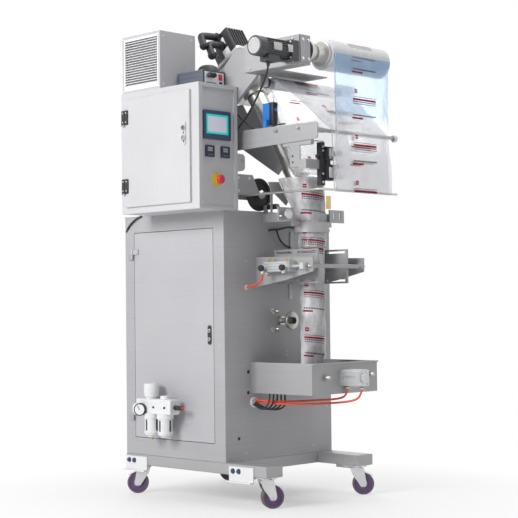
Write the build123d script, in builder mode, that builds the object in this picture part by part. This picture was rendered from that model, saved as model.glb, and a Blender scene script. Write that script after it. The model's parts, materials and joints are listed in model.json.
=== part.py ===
from build123d import *
from math import asin, atan2, cos, degrees, hypot, radians, sin
import os

# Powder packaging machine, millimetres, +Z up.
# The origin is on the floor, under the middle of the machine's plan.
# The door side faces -X and the bag side faces -Y.

# Base frame and cabinet
caster_height = 137.0
beam_width = 100.0
beam_height = 50.0
foot_reach = 250.0
cabinet_width = 697.0
cabinet_depth = 677.0
cabinet_height = 1111.0
sheet = 3.0
bracket_flange = 24.0
motor_reach = 228.0

# Film and its unwind roll
film = 1.0
film_width = 372.0
running_gap = 0.3
roll_reach = 432.0
roll_radius = 68.0
web_reach = roll_reach + roll_radius + running_gap + film

# Cabinet's faces, with the plan's middle at the origin
left = (motor_reach - cabinet_width - bracket_flange) / 2
front = (web_reach - cabinet_depth) / 2
right = left + cabinet_width
rear = front + cabinet_depth
beam_top = caster_height + beam_height
cabinet_top = beam_top + cabinet_height
roll_y = front - roll_reach
roll_z = cabinet_top + 654.0

# Cabinet door
door_side_margin = 69.0
door_low_margin = 81.0
door_high_margin = 77.0
door_gap = 2.5
door_thickness = 18.0

# Control box, louvre box and their doors
box_width = 234.0
box_depth = 523.0
box_height = 549.0
box_overhang = 171.0
box_front_reach = 33.0
box_left = left - box_overhang
box_right = box_left + box_width
box_front = front - box_front_reach
box_top = cabinet_top + box_height
box_door_front_margin = 48.0
box_door_rear_margin = 42.0
box_door_end_margin = 29.0
box_door_thickness = 12.0
louvre_width = 213.0
louvre_depth = 261.0
louvre_height = 260.0
louvre_rear_margin = 11.0

# Former axis and bag
former_offset = 24.5
former_x = left + cabinet_width / 2 + former_offset
former_y = front - 186.0
tube_radius = 57.0
tube_top = cabinet_top + 12.0
tube_low = cabinet_top - 168.0

# Seal tray
tray_side = 212.0
tray_width = 432.0
tray_depth = 372.0
tray_low = beam_top + 299.0
tray_height = 137.0
tray_sheet = 6.0

# Clamp station
clamp_span = 343.0
clamp_reach = 347.0
clamp_z = cabinet_top - 252.0

# Inclined auger
auger_tilt = 32.0
auger_radius = 46.0
ring_low = 640.0
head_low = 672.0
head_high = 850.0
head_size = 200.0
head_flange = 9.0
motor_size = 118.0
motor_length = 160.0

# Casters
wheel_radius = 50.0
wheel_width = 32.0
caster_trail = 34.0
caster_inset = 60.0
fork_sheet = 4.0
fork_gap = 3.0
caster_spots = {
    "front_left": (left + beam_width / 2, front - foot_reach + caster_inset, -28.0),
    "rear_left": (left + beam_width / 2, rear - caster_inset - 15, 135.0),
    "front_right": (right - beam_width / 2, front - foot_reach + caster_inset, -45.0),
    "rear_right": (right - beam_width / 2, rear - caster_inset - 15, 135.0),
}


def slab(x, y, z, mode=Mode.ADD):
    """A box between two limits on each axis."""
    with Locations(((x[0] + x[1]) / 2, (y[0] + y[1]) / 2, (z[0] + z[1]) / 2)):
        Box(x[1] - x[0], y[1] - y[0], z[1] - z[0], mode=mode)


def bar_x(x, y, z, radius, mode=Mode.ADD):
    """A round bar along X."""
    with Locations(Location(((x[0] + x[1]) / 2, y, z), (0, 90, 0))):
        Cylinder(radius, x[1] - x[0], mode=mode)


def bar_y(x, y, z, radius, mode=Mode.ADD):
    """A round bar along Y."""
    with Locations(Location((x, (y[0] + y[1]) / 2, z), (90, 0, 0))):
        Cylinder(radius, y[1] - y[0], mode=mode)


def bar_z(x, y, z, radius, mode=Mode.ADD):
    """A round bar along Z."""
    with Locations((x, y, (z[0] + z[1]) / 2)):
        Cylinder(radius, z[1] - z[0], mode=mode)


def side_plate(x, points, mode=Mode.ADD):
    """A plate between two X limits with an outline in Y and Z."""
    with BuildSketch(Plane.YZ.offset(x[0])) as outline:
        with BuildLine():
            Polyline(*points, close=True)
        make_face()
    extrude(outline.sketch, amount=x[1] - x[0], dir=(1, 0, 0), mode=mode)


def front_plate(y, points, mode=Mode.ADD):
    """A plate between two Y limits with an outline in X and Z."""
    with BuildSketch(Plane.XZ.offset(-y[1])) as outline:
        with BuildLine():
            Polyline(*points, close=True)
        make_face()
    extrude(outline.sketch, amount=y[1] - y[0], dir=(0, -1, 0), mode=mode)


def cord(radius, points):
    """A round cord of straight runs joined by tangent arcs."""
    bend = 1000.0
    for start, middle, end in zip(points, points[1:], points[2:]):
        ahead = Vector(*middle) - Vector(*start)
        after = Vector(*end) - Vector(*middle)
        half_turn = radians(ahead.get_angle(after)) / 2
        bend = min(bend, 0.45 * min(ahead.length, after.length) * cos(half_turn) / sin(half_turn))
    with BuildLine() as route:
        FilletPolyline(*points, radius=bend)
    with BuildSketch(Plane(origin=route.line @ 0, z_dir=route.line % 0)) as section:
        Circle(radius)
    sweep(section.sketch, path=route.line)
    return bend


pieces = {}

# Base frame: two runners that reach forward, and two cross tubes
tube_corner = 6.0
with BuildPart() as base_frame:
    for x in (left, right - beam_width):
        slab((x, x + beam_width), (front - foot_reach, rear), (caster_height, beam_top))
    fillet(base_frame.edges().filter_by(Axis.Y), tube_corner)
    for y in (front, rear - beam_width):
        slab((left + beam_width - tube_corner, right - beam_width + tube_corner), (y, y + beam_width), (caster_height + 1, beam_top - 1))
pieces["base_frame"] = base_frame

# Angle brackets on the outside of each runner
bracket_sheet = 5.0
bracket_length = 150.0
bracket_drop = 27.0
bracket_rise = 40.0
bracket_hole = 7.0
with BuildPart() as runner_brackets:
    for side, x in ((-1, left), (1, right)):
        for y in (front - 175.0, rear - bracket_length):
            outer = sorted((x, x + side * bracket_sheet))
            flange = sorted((x, x + side * bracket_flange))
            low = caster_height - bracket_drop
            slab(outer, (y, y + bracket_length), (low, caster_height + bracket_rise))
            slab(flange, (y, y + bracket_length), (low, low + bracket_sheet))
            for hole_y in (y + 35, y + bracket_length - 35):
                bar_z(x + side * 15, hole_y, (low - 1, low + bracket_sheet + 1), bracket_hole / 2, mode=Mode.SUBTRACT)
pieces["runner_brackets"] = runner_brackets

# Lower cabinet: a sheet housing, open behind its door
door_y = (front + door_side_margin, rear - door_side_margin)
door_z = (beam_top + door_low_margin, cabinet_top - door_high_margin)
gland_x = left + 172.0
with BuildPart() as cabinet:
    slab((left, right), (front, rear), (beam_top, cabinet_top))
    fillet(cabinet.edges().filter_by(Axis.Z), sheet + 1)
    slab(
        (left + sheet, right - sheet),
        (front + sheet, rear - sheet),
        (beam_top + sheet, cabinet_top - sheet),
        mode=Mode.SUBTRACT,
    )
    slab(
        (left - 1, left + sheet + 1),
        (door_y[0] - door_gap, door_y[1] + door_gap),
        (door_z[0] - door_gap, door_z[1] + door_gap),
        mode=Mode.SUBTRACT,
    )
pieces["cabinet"] = cabinet

hinge_radius = 6.0
pin_radius = 3.0
pin_clearance = 0.1
knuckle = 24.0
knuckle_gap = 0.4


def hinge_fixed(x, y, z, face_x, reach):
    """The fixed half of a lift-off hinge: leaf, lower knuckle and pin."""
    slab((x, face_x), (y, y + reach), (z - knuckle - knuckle_gap, z - knuckle_gap))
    bar_z(x, y, (z - knuckle - knuckle_gap, z - knuckle_gap), hinge_radius)
    bar_z(x, y, (z - knuckle_gap, z + knuckle - 4), pin_radius)


def hinge_moving(x, y, z, face_x, reach):
    """The door's half: leaf and upper knuckle, bored for the pin."""
    slab((x, face_x), (y - reach, y), (z, z + knuckle))
    bar_z(x, y, (z, z + knuckle), hinge_radius)
    bar_z(x, y, (z - 1, z + knuckle - 3), pin_radius + pin_clearance, mode=Mode.SUBTRACT)


cabinet_hinge = (left - hinge_radius - 1, door_y[1] + 10.0)
cabinet_hinge_z = (door_z[0] + 100, door_z[1] - 100)
with BuildPart() as cabinet_door:
    slab((left, left + door_thickness), door_y, door_z)
    slab(
        (left + 2, left + door_thickness + 1),
        (door_y[0] + 2, door_y[1] - 2),
        (door_z[0] + 2, door_z[1] - 2),
        mode=Mode.SUBTRACT,
    )
    for z in cabinet_hinge_z:
        hinge_moving(*cabinet_hinge, z, left, 40.0)
pieces["cabinet_door"] = cabinet_door

lock_z = beam_top + 560.0
lock_y = door_y[0] + 24.0
lock_size = (86.0, 22.0)
lock_proud = 4.0
with BuildPart() as door_lock:
    with BuildSketch(Plane.YZ.offset(left - lock_proud)):
        with Locations((lock_y, lock_z)):
            SlotOverall(lock_size[0], lock_size[1], rotation=90)
    extrude(amount=lock_proud)
    for z in (lock_z - 20, lock_z + 20):
        bar_x((left - lock_proud - 2, left - lock_proud), lock_y, z, 7)
        slab((left - lock_proud - 3, left - lock_proud - 1), (lock_y - 1, lock_y + 1), (z - 4, z + 4), mode=Mode.SUBTRACT)
pieces["door_lock"] = door_lock

# Control box on the cabinet's left side
box_x = (box_left, box_right)
box_y = (box_front, box_front + box_depth)
box_z = (cabinet_top, box_top)
panel_margin = 20.0
panel_low = 13.0
panel_high = 17.0
panel_recess = 8.0
panel_y = box_front + panel_recess
box_door_y = (box_y[0] + box_door_front_margin, box_y[1] - box_door_rear_margin)
box_door_z = (box_z[0] + box_door_end_margin, box_z[1] - box_door_end_margin)
door_stop = 14.0
with BuildPart() as control_box:
    slab(box_x, box_y, box_z)
    fillet(control_box.edges().filter_by(Axis.Z), sheet)
    slab(
        (box_x[0] + sheet, box_x[1] - sheet),
        (panel_y + sheet, box_y[1] - sheet),
        (box_z[0] + sheet, box_z[1] - sheet),
        mode=Mode.SUBTRACT,
    )
    slab(
        (box_x[0] + panel_margin, box_x[1] - panel_margin),
        (box_front - 1, panel_y),
        (box_z[0] + panel_low, box_z[1] - panel_high),
        mode=Mode.SUBTRACT,
    )
    slab(
        (box_x[0] - 1, box_x[0] + sheet + 1),
        (box_door_y[0] + door_stop, box_door_y[1] - door_stop),
        (box_door_z[0] + door_stop, box_door_z[1] - door_stop),
        mode=Mode.SUBTRACT,
    )
pieces["control_box"] = control_box

box_hinge = (box_left - box_door_thickness - 1, box_door_y[1] + 9.0)
box_hinge_z = (box_z[0] + 112.0, box_z[1] - 124.0)
box_door_x = (box_left - running_gap - box_door_thickness, box_left - running_gap)
with BuildPart() as box_door:
    slab(box_door_x, box_door_y, box_door_z)
    chamfer(box_door.faces().sort_by(Axis.X)[0].edges(), 2)
    slab(
        (box_door_x[0] + 2, box_door_x[1] + 1),
        (box_door_y[0] + 2, box_door_y[1] - 2),
        (box_door_z[0] + 2, box_door_z[1] - 2),
        mode=Mode.SUBTRACT,
    )
    for z in box_hinge_z:
        hinge_moving(*box_hinge, z, box_door_x[0] + 2, 26.0)
pieces["box_door"] = box_door

with BuildPart() as door_hinges:
    for z in cabinet_hinge_z:
        hinge_fixed(*cabinet_hinge, z, left, 30.0)
    for z in box_hinge_z:
        hinge_fixed(*box_hinge, z, box_left, 20.0)
pieces["door_hinges"] = door_hinges

box_lock_z = box_z[0] + 330.0
box_lock_y = box_door_y[0] + 32.0
box_lock_size = (102.0, 22.0)
box_lock_proud = 5.0
with BuildPart() as box_lock:
    with BuildSketch(Plane.YZ.offset(box_door_x[0] - box_lock_proud)):
        with Locations((box_lock_y, box_lock_z)):
            SlotOverall(box_lock_size[0], box_lock_size[1], rotation=90)
    extrude(amount=box_lock_proud)
    bar_x((box_door_x[0] - box_lock_proud - 2, box_door_x[0] - box_lock_proud), box_lock_y, box_lock_z + 24, 7)
pieces["box_lock"] = box_lock

# Louvre box on top of the control box
louvre_x = (box_left, box_left + louvre_width)
louvre_y = (box_y[1] - louvre_rear_margin - louvre_depth, box_y[1] - louvre_rear_margin)
louvre_z = (box_top, box_top + louvre_height)
slat_count = 18
vent_inset = 19.0
vent_low = 32.0
vent_high = 22.0
vent_deep = 16.0
slat_inset = 0.8
with BuildPart() as louvre_box:
    slab(louvre_x, louvre_y, louvre_z)
    vent_y = (louvre_y[0] + vent_inset, louvre_y[1] - vent_inset)
    vent_z = (louvre_z[0] + vent_low, louvre_z[1] - vent_high)
    slab((louvre_x[0] - 1, louvre_x[0] + vent_deep), vent_y, vent_z, mode=Mode.SUBTRACT)
    pitch = (vent_z[1] - vent_z[0]) / slat_count
    with BuildSketch(Plane.XZ.offset(-vent_y[0])):
        for index in range(slat_count):
            with Locations((louvre_x[0] + slat_inset, vent_z[0] + pitch * index + slat_inset)):
                Polygon((0, 0), (vent_deep, pitch * 0.7), (vent_deep, pitch * 0.85), (0, pitch * 0.2), align=None)
    extrude(amount=-(vent_y[1] - vent_y[0]))
pieces["louvre_box"] = louvre_box

# Instruments on the control panel
screen_size = (161.0, 127.0)
screen_centre = (box_left + 111.0, cabinet_top + 367.0)
display_size = (133.0, 87.0)
display_rise = 4.0
screen_proud = 9.0
with BuildPart() as operator_screen:
    slab(
        (screen_centre[0] - screen_size[0] / 2, screen_centre[0] + screen_size[0] / 2),
        (panel_y - screen_proud, panel_y),
        (screen_centre[1] - screen_size[1] / 2, screen_centre[1] + screen_size[1] / 2),
    )
    fillet(operator_screen.edges().filter_by(Axis.Y), 5)
    slab(
        (screen_centre[0] - display_size[0] / 2, screen_centre[0] + display_size[0] / 2),
        (panel_y - screen_proud - 1, panel_y - screen_proud + 2),
        (screen_centre[1] - display_size[1] / 2 + display_rise, screen_centre[1] + display_size[1] / 2 + display_rise),
        mode=Mode.SUBTRACT,
    )
pieces["operator_screen"] = operator_screen

meter_size = 50.0
meter_proud = 8.0
meter_x = (box_left + 68.0, box_left + 160.0)
meter_z = cabinet_top + 252.0
with BuildPart() as temperature_controllers:
    for x in meter_x:
        slab(
            (x - meter_size / 2, x + meter_size / 2),
            (panel_y - meter_proud, panel_y),
            (meter_z - meter_size / 2, meter_z + meter_size / 2),
        )
        slab(
            (x - meter_size / 2 + 5, x + meter_size / 2 - 5),
            (panel_y - meter_proud - 1, panel_y - meter_proud + 1.5),
            (meter_z - 4, meter_z + meter_size / 2 - 5),
            mode=Mode.SUBTRACT,
        )
pieces["temperature_controllers"] = temperature_controllers

stop_centre = (box_left + 111.0, cabinet_top + 130.0)
stop_travel = 4.0
stop_radius = 20.0
stop_stem = 7.0
with BuildPart() as stop_ring:
    bar_y(stop_centre[0], (panel_y - 6, panel_y), stop_centre[1], 28)
    bar_y(stop_centre[0], (panel_y - 14, panel_y - 6), stop_centre[1], 15)
    bar_y(stop_centre[0], (panel_y - 15, panel_y - 1), stop_centre[1], stop_stem + 0.5, mode=Mode.SUBTRACT)
pieces["stop_ring"] = stop_ring

with BuildPart() as stop_button:
    stop_back = panel_y - 14 - stop_travel - 2
    bar_y(stop_centre[0], (stop_back - 14, stop_back), stop_centre[1], stop_radius)
    fillet(stop_button.faces().sort_by(Axis.Y)[0].edges(), 6)
    bar_y(stop_centre[0], (stop_back, panel_y - 6), stop_centre[1], stop_stem)
pieces["stop_button"] = stop_button

# Feeder controller that stands on the control box
dial_width = 132.0
dial_height = 75.0
dial_depth = 165.0
dial_x = (box_right - dial_width, box_right)
dial_y = (box_front + 81.0, box_front + 81.0 + dial_depth)
dial_ribs = 3
knob_radius = 10.0
dome_radius = 42.0
dome_height = 34.0
with BuildPart() as dial_box:
    slab(dial_x, dial_y, (box_top, box_top + dial_height))
    fillet(dial_box.edges().filter_by(Axis.Y), 4)
    for index in range(dial_ribs):
        z = box_top + 18 + index * 19
        slab((dial_x[0] - 1, dial_x[0] + 2), (dial_y[0] + 12, dial_y[1] + 1), (z, z + 9), mode=Mode.SUBTRACT)
    for x in (dial_x[0] + 27, dial_x[0] + 49):
        bar_y(x, (dial_y[0] - 14, dial_y[0]), box_top + 50, knob_radius)
    with BuildSketch(Plane(origin=(dial_x[1] - 44, dial_y[0] + 60, box_top + dial_height), x_dir=(1, 0, 0), z_dir=(0, -1, 0))):
        Ellipse(dome_radius, dome_height)
        Rectangle(dome_radius + 1, 4 * dome_height, align=(Align.MAX, Align.CENTER), mode=Mode.SUBTRACT)
        Rectangle(2 * dome_radius, 2 * dome_height, align=(Align.MIN, Align.MAX), mode=Mode.SUBTRACT)
    revolve(axis=Axis((dial_x[1] - 44, dial_y[0] + 60, 0), (0, 0, 1)))
pieces["dial_box"] = dial_box

# Small sensor box on the control box's right side
sensor_box_x = (box_right, box_right + 66.0)
sensor_box_z = (cabinet_top + 180.0, cabinet_top + 255.0)
with BuildPart() as sensor_box:
    side_depth = (front - 10.0, front + 50.0)
    slab(sensor_box_x, side_depth, sensor_box_z)
    chamfer(sensor_box.edges().filter_by(Axis.Y).sort_by(Axis.X)[-2:], 12)
    bar_y(sensor_box_x[1] - 16, (side_depth[0] - 4, side_depth[0]), sensor_box_z[0] + 46, 5)
pieces["sensor_box"] = sensor_box

# Inclined auger: tube, head and servo motor on one sloping axis
auger_axis = Plane(
    origin=(former_x, former_y, tube_top),
    x_dir=(1, 0, 0),
    z_dir=(0, sin(radians(auger_tilt)), cos(radians(auger_tilt))),
)
ring_radius = 58.0
with BuildPart() as auger_tube:
    with BuildSketch(auger_axis.offset(-80)):
        Circle(auger_radius)
    extrude(amount=ring_low + 80)
    with BuildSketch(auger_axis.offset(ring_low)):
        Circle(ring_radius)
    extrude(amount=head_low - ring_low)
    split(bisect_by=Plane.XY.offset(tube_top), keep=Keep.TOP)
pieces["auger_tube"] = auger_tube

head_corner = 10.0
flange_thickness = 14.0
with BuildPart() as auger_head:
    with BuildSketch(auger_axis.offset(head_low)):
        RectangleRounded(head_size, head_size, head_corner)
    extrude(amount=head_high - head_low - flange_thickness)
    with BuildSketch(auger_axis.offset(head_high - flange_thickness)):
        RectangleRounded(head_size + 2 * head_flange, head_size + 2 * head_flange, head_corner)
    extrude(amount=flange_thickness)
pieces["auger_head"] = auger_head

fin_count = 6
eye_ring = 14.0
plug_radius = 17.0
plug_reach = 46.0
with BuildPart() as servo_motor:
    with BuildSketch(auger_axis.offset(head_high)):
        RectangleRounded(motor_size, motor_size, 8)
        with GridLocations(motor_size / (fin_count + 1), 0, fin_count, 1):
            with Locations((0, -motor_size / 2)):
                Rectangle(7, 10, mode=Mode.SUBTRACT)
    extrude(amount=motor_length)
    servo_end = auger_axis.offset(head_high + motor_length)
    with Locations(servo_end * Location((0, 10, eye_ring - 2), (90, 0, 0))):
        Torus(eye_ring, 4)
    for height in (head_high + motor_length - 26, head_high + motor_length - 74):
        with BuildLine() as plug_route:
            FilletPolyline(
                auger_axis.from_local_coords((0, motor_size / 2 - 4, height)),
                auger_axis.from_local_coords((0, motor_size / 2 + plug_reach, height)),
                auger_axis.from_local_coords((0, motor_size / 2 + plug_reach, height - 1.6 * plug_reach)),
                radius=0.55 * plug_reach,
            )
        with BuildSketch(Plane(origin=plug_route.line @ 0, z_dir=plug_route.line % 0)):
            Circle(plug_radius)
        sweep(path=plug_route.line)
pieces["servo_motor"] = servo_motor

# Support column behind the control box, with the head's cradle
column_x = (box_right + 7.0, former_x + 12.0)
column_y = (front + 310.0, front + 520.0)
column_top = box_top + 53.0
cradle_x = (former_x - 80.0, former_x + 12.0)
gusset_x = (former_x - auger_radius - running_gap - 6, former_x - auger_radius - running_gap)
with BuildPart() as support_column:
    slab(column_x, column_y, (cabinet_top, column_top))
    slab(cradle_x, (column_y[0] - 70, column_y[0] + 80), (column_top - 60, column_top + 60))
    side_plate(
        gusset_x,
        (
            (column_y[0] + 1, cabinet_top + 375),
            (front - 29, cabinet_top + 172),
            (front - 55, cabinet_top + 200),
            (front + 130, box_top - 30),
            (column_y[0] + 1, box_top - 30),
        ),
    )
    for low, high, size in ((ring_low - 60, head_low, 2 * ring_radius), (head_low, head_high + 10, head_size + 2 * head_flange)):
        with BuildSketch(auger_axis.offset(low)):
            Rectangle(size, size)
        extrude(amount=high - low, mode=Mode.SUBTRACT)
pieces["support_column"] = support_column

# Unwind arm: a box beam, and the strut plate that carries it
arm_beam_x = (left - 4.0, left + 66.0)
arm_beam_y = (roll_y - 42.0, front - 150.0)
arm_beam_z = (roll_z - 67.0, roll_z + 58.0)
strut_sheet = 3.0
strut_foot_z = (roll_z - 480.0, roll_z - 435.0)
with BuildPart() as unwind_arm:
    slab(arm_beam_x, arm_beam_y, arm_beam_z)
    fillet(unwind_arm.edges().filter_by(Axis.Y), 5)
    side_plate(
        (arm_beam_x[1], arm_beam_x[1] + strut_sheet),
        (
            (arm_beam_y[1] - 90, arm_beam_z[0]),
            (arm_beam_y[1] - 5, arm_beam_z[0]),
            (column_y[0], strut_foot_z[1]),
            (column_y[0], strut_foot_z[0]),
            (column_y[0] + 60, strut_foot_z[0]),
            (column_y[0] + 60, roll_z - 347),
            (front - 15, arm_beam_z[1] + 6),
            (arm_beam_y[1] - 90, arm_beam_z[1] + 6),
        ),
    )
    slab((arm_beam_x[1] + strut_sheet, column_x[0]), (column_y[0] + 10, column_y[0] + 60), strut_foot_z)
    lip = (arm_beam_x[1] + strut_sheet, arm_beam_x[1] + strut_sheet + 16)
    side_plate(
        lip,
        (
            (arm_beam_y[1] - 5, arm_beam_z[0]),
            (arm_beam_y[1] - 3, arm_beam_z[0] + 3),
            (column_y[0], strut_foot_z[1] + 3),
            (column_y[0], strut_foot_z[1]),
        ),
    )
    slab((arm_beam_x[0] + 6, arm_beam_x[1] - 6), (arm_beam_y[0] - 4, arm_beam_y[0]), (arm_beam_z[0] + 8, arm_beam_z[1] - 8))
pieces["unwind_arm"] = unwind_arm

# Gear motor on the outer side of the arm
gear_motor_z = roll_z - 12.0
gearbox_size = 84.0
gearbox_length = 40.0
motor_fins = 20
fan_cover = 44.0
with BuildPart() as gear_motor:
    slab(
        (arm_beam_x[0] - gearbox_length, arm_beam_x[0]),
        (roll_y - gearbox_size / 2, roll_y + gearbox_size / 2),
        (gear_motor_z - gearbox_size / 2, gear_motor_z + gearbox_size / 2),
    )
    fillet(gear_motor.edges().filter_by(Axis.X), 6)
    motor_end = left - motor_reach
    bar_x((motor_end + fan_cover, arm_beam_x[0] - gearbox_length), roll_y, gear_motor_z, 37)
    with BuildSketch(Plane.YZ.offset(motor_end + fan_cover)):
        with Locations((roll_y, gear_motor_z)):
            with PolarLocations(38, motor_fins):
                Rectangle(6, 2.4)
    extrude(amount=arm_beam_x[0] - gearbox_length - motor_end - fan_cover)
    bar_x((motor_end, motor_end + fan_cover), roll_y, gear_motor_z, 42)
    fillet(gear_motor.faces().sort_by(Axis.X)[0].edges(), 5)
    slab((motor_end + 60, motor_end + 125), (roll_y - 26, roll_y + 26), (gear_motor_z - 58, gear_motor_z - 30))
pieces["gear_motor"] = gear_motor

# Film roll on its shaft
roll_x = (former_x - film_width / 2, former_x + film_width / 2)
shaft_radius = 12.0
shaft_end_radius = 10.0
shaft_end_length = 14.0
hub_radius = 52.0
with BuildPart() as roll_shaft:
    bar_x((arm_beam_x[1] + strut_sheet + running_gap, roll_x[1]), roll_y, roll_z, shaft_radius)
    bar_x((roll_x[1], roll_x[1] + shaft_end_length), roll_y, roll_z, shaft_end_radius)
    bar_x((arm_beam_x[1] + strut_sheet + 6, arm_beam_x[1] + strut_sheet + 16), roll_y, roll_z, 50)
    bar_x((roll_x[0] - 60, roll_x[0] - 14), roll_y, roll_z, 38)
    bar_x((roll_x[0] - 14, roll_x[0]), roll_y, roll_z, hub_radius)
pieces["roll_shaft"] = roll_shaft

core_radius = 44.0
core_proud = 3.0
with BuildPart() as film_roll:
    bar_x(roll_x, roll_y, roll_z, roll_radius)
    bar_x((roll_x[1], roll_x[1] + core_proud), roll_y, roll_z, core_radius)
    bar_x((roll_x[0] - 1, roll_x[1] + core_proud + 1), roll_y, roll_z, shaft_radius, mode=Mode.SUBTRACT)
pieces["film_roll"] = film_roll

# Turning bar, guide roller and guide rods
turn_bar_radius = 5.0
turn_bar_z = cabinet_top + 66.0
turn_bar_x = (box_right + 32.0, former_x + 227.0)
turn_bar_bend = 22.0
web_y = front - web_reach
turn_bar_y = web_y + film + running_gap + turn_bar_radius
with BuildPart() as turning_bar:
    with BuildLine() as bar_route:
        FilletPolyline(
            (turn_bar_x[0], column_y[0] + 20, turn_bar_z),
            (turn_bar_x[0], turn_bar_y, turn_bar_z),
            (turn_bar_x[1], turn_bar_y, turn_bar_z),
            radius=turn_bar_bend,
        )
    with BuildSketch(Plane(origin=bar_route.line @ 0, z_dir=bar_route.line % 0)):
        Circle(turn_bar_radius)
    sweep(path=bar_route.line)
    slab((turn_bar_x[0] - 15, turn_bar_x[0] + 15), (column_y[0] - 12, column_y[0]), (turn_bar_z - 15, turn_bar_z + 15))
    slab(column_x, column_y, (cabinet_top, column_top), mode=Mode.SUBTRACT)
pieces["turning_bar"] = turning_bar

roller_radius = 27.0
roller_bore = 10.1
roller_axle_radius = 10.0
roller_y = front - 130.0
roller_z = cabinet_top + 564.0
roller_x = (roll_x[0] - 2.0, roll_x[1] + 68.0)
with BuildPart() as guide_roller:
    bar_x(roller_x, roller_y, roller_z, roller_radius)
    chamfer(guide_roller.edges().filter_by(GeomType.CIRCLE), 3)
    bar_x((roller_x[0] - 1, roller_x[1] + 1), roller_y, roller_z, roller_bore, mode=Mode.SUBTRACT)
pieces["guide_roller"] = guide_roller

side_arm_x = (box_right + 36.0, box_right + 42.0)
side_arm_y = (front - 478.0, column_y[0] + 20.0)
side_arm_z = (cabinet_top + 264.0, cabinet_top + 360.0)
side_arm_corner = 14.0
rod_radius = 8.0
rod_y = front - 466.0
rod_z = cabinet_top + 320.0
rod_end = former_x + 259.0
with BuildPart() as side_arm:
    side_plate(
        side_arm_x,
        (
            (side_arm_y[0], side_arm_z[1] - 6),
            (side_arm_y[0], side_arm_z[0] + 18),
            (side_arm_y[1], side_arm_z[0]),
            (side_arm_y[1], side_arm_z[1]),
        ),
    )
    fillet(side_arm.edges().filter_by(Axis.X).sort_by(Axis.Y)[:2], side_arm_corner)
    slab((column_x[0], side_arm_x[0]), (column_y[0] - 6, column_y[0]), side_arm_z)
    bar_x((side_arm_x[1], rod_end), rod_y, rod_z, rod_radius)
    bar_x((rod_end - 24, rod_end), rod_y, rod_z, rod_radius + 5)
    bar_x((side_arm_x[1], side_arm_x[1] + 46), rod_y, rod_z, rod_radius + 3)
    slab(column_x, column_y, (cabinet_top, column_top), mode=Mode.SUBTRACT)
pieces["side_arm"] = side_arm

lug_x = (roll_x[0] - 54.0, roll_x[0] - 46.0)
hood_sheet = 5.0
hood_x = (arm_beam_x[1] + strut_sheet, former_x + 50.0)
hood_z = roller_z + roller_radius + film + 8.0
with BuildPart() as roller_axle:
    bar_x((lug_x[1], roller_x[1] + 8), roller_y, roller_z, roller_axle_radius)
    bar_x((lug_x[1], lug_x[1] + 18), roller_y, roller_z, 21)
    slab(lug_x, (roller_y - 22, roller_y + 22), (roller_z - 22, hood_z))
    slab(hood_x, (roller_y - 116, roller_y + 34), (hood_z, hood_z + hood_sheet))
pieces["roller_axle"] = roller_axle


def film_path(circles):
    """Film's centre line: arcs round each circle, joined by straight runs.

    A circle is y, z, radius, and 1 where the film turns left round it or -1 where it turns right.
    """
    runs = []
    for (ya, za, ra, sa), (yb, zb, rb, sb) in zip(circles, circles[1:]):
        heading = atan2(zb - za, yb - ya) - asin((sb * rb - sa * ra) / hypot(yb - ya, zb - za))
        side = (-sin(heading), cos(heading))
        runs.append((
            heading,
            (ya - sa * ra * side[0], za - sa * ra * side[1]),
            (yb - sb * rb * side[0], zb - sb * rb * side[1]),
        ))
    return runs


# Film web: down from the roll, round the bar, up over the rod and the roller, down to the collar
half_film = film / 2
lay = running_gap + half_film
collar_low = cabinet_top - 48.0
collar_top = cabinet_top + 142.0
collar_mouth = (175.0, 166.0)
collar_shift = 25.0
web_end = (former_y - collar_shift - collar_mouth[1] + 26, collar_top + lay)
circles = (
    (roll_y, roll_z, roll_radius + lay, 1),
    (turn_bar_y, turn_bar_z, turn_bar_radius + lay, 1),
    (rod_y, rod_z, rod_radius + 3 + lay, -1),
    (roller_y, roller_z, roller_radius + lay, -1),
    (web_end[0], web_end[1], 0.0, 1),
)
with BuildPart() as film_web:
    with BuildSketch(Plane.YZ.offset(roll_x[0])):
        with BuildLine() as web_line:
            runs = film_path(circles)
            for heading, start, end in runs:
                Line(start, end)
            for (y, z, radius, turn), (before, _, start), (after, _, _) in zip(circles[1:], runs, runs[1:]):
                if radius:
                    swing = degrees(after - before) % 360
                    if turn < 0:
                        swing -= 360
                    CenterArc((y, z), radius, degrees(atan2(start[1] - z, start[0] - y)), swing)
        trace(line_width=film)
    extrude(amount=film_width)
pieces["film_web"] = film_web

# Forming collar, tube and bag
neck_low = cabinet_top - 98.0
collar_sheet = 2.0
collar_inner = tube_radius + 4.0
with BuildPart() as forming_collar:
    for grow, mode in ((collar_sheet, Mode.ADD), (0.0, Mode.SUBTRACT)):
        with BuildSketch(Plane.XY.offset(collar_low)):
            with Locations((former_x, former_y)):
                Circle(collar_inner + grow)
        with BuildSketch(Plane.XY.offset(collar_top)):
            with Locations((former_x, former_y - collar_shift)):
                Ellipse(collar_mouth[0] + grow, collar_mouth[1] + grow)
        loft(mode=mode)
    bar_z(former_x, former_y, (neck_low, collar_low), collar_inner + collar_sheet)
    bar_z(former_x, former_y, (neck_low - 1, collar_low + 1), collar_inner, mode=Mode.SUBTRACT)
pieces["forming_collar"] = forming_collar

tube_wall = 2.0
tube_outer = tube_radius - film - running_gap
with BuildPart() as forming_tube:
    bar_z(former_x, former_y, (tube_low, tube_top), tube_outer)
    bar_z(former_x, former_y, (tube_low - 1, tube_top - 3), tube_outer - tube_wall, mode=Mode.SUBTRACT)
pieces["forming_tube"] = forming_tube

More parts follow.
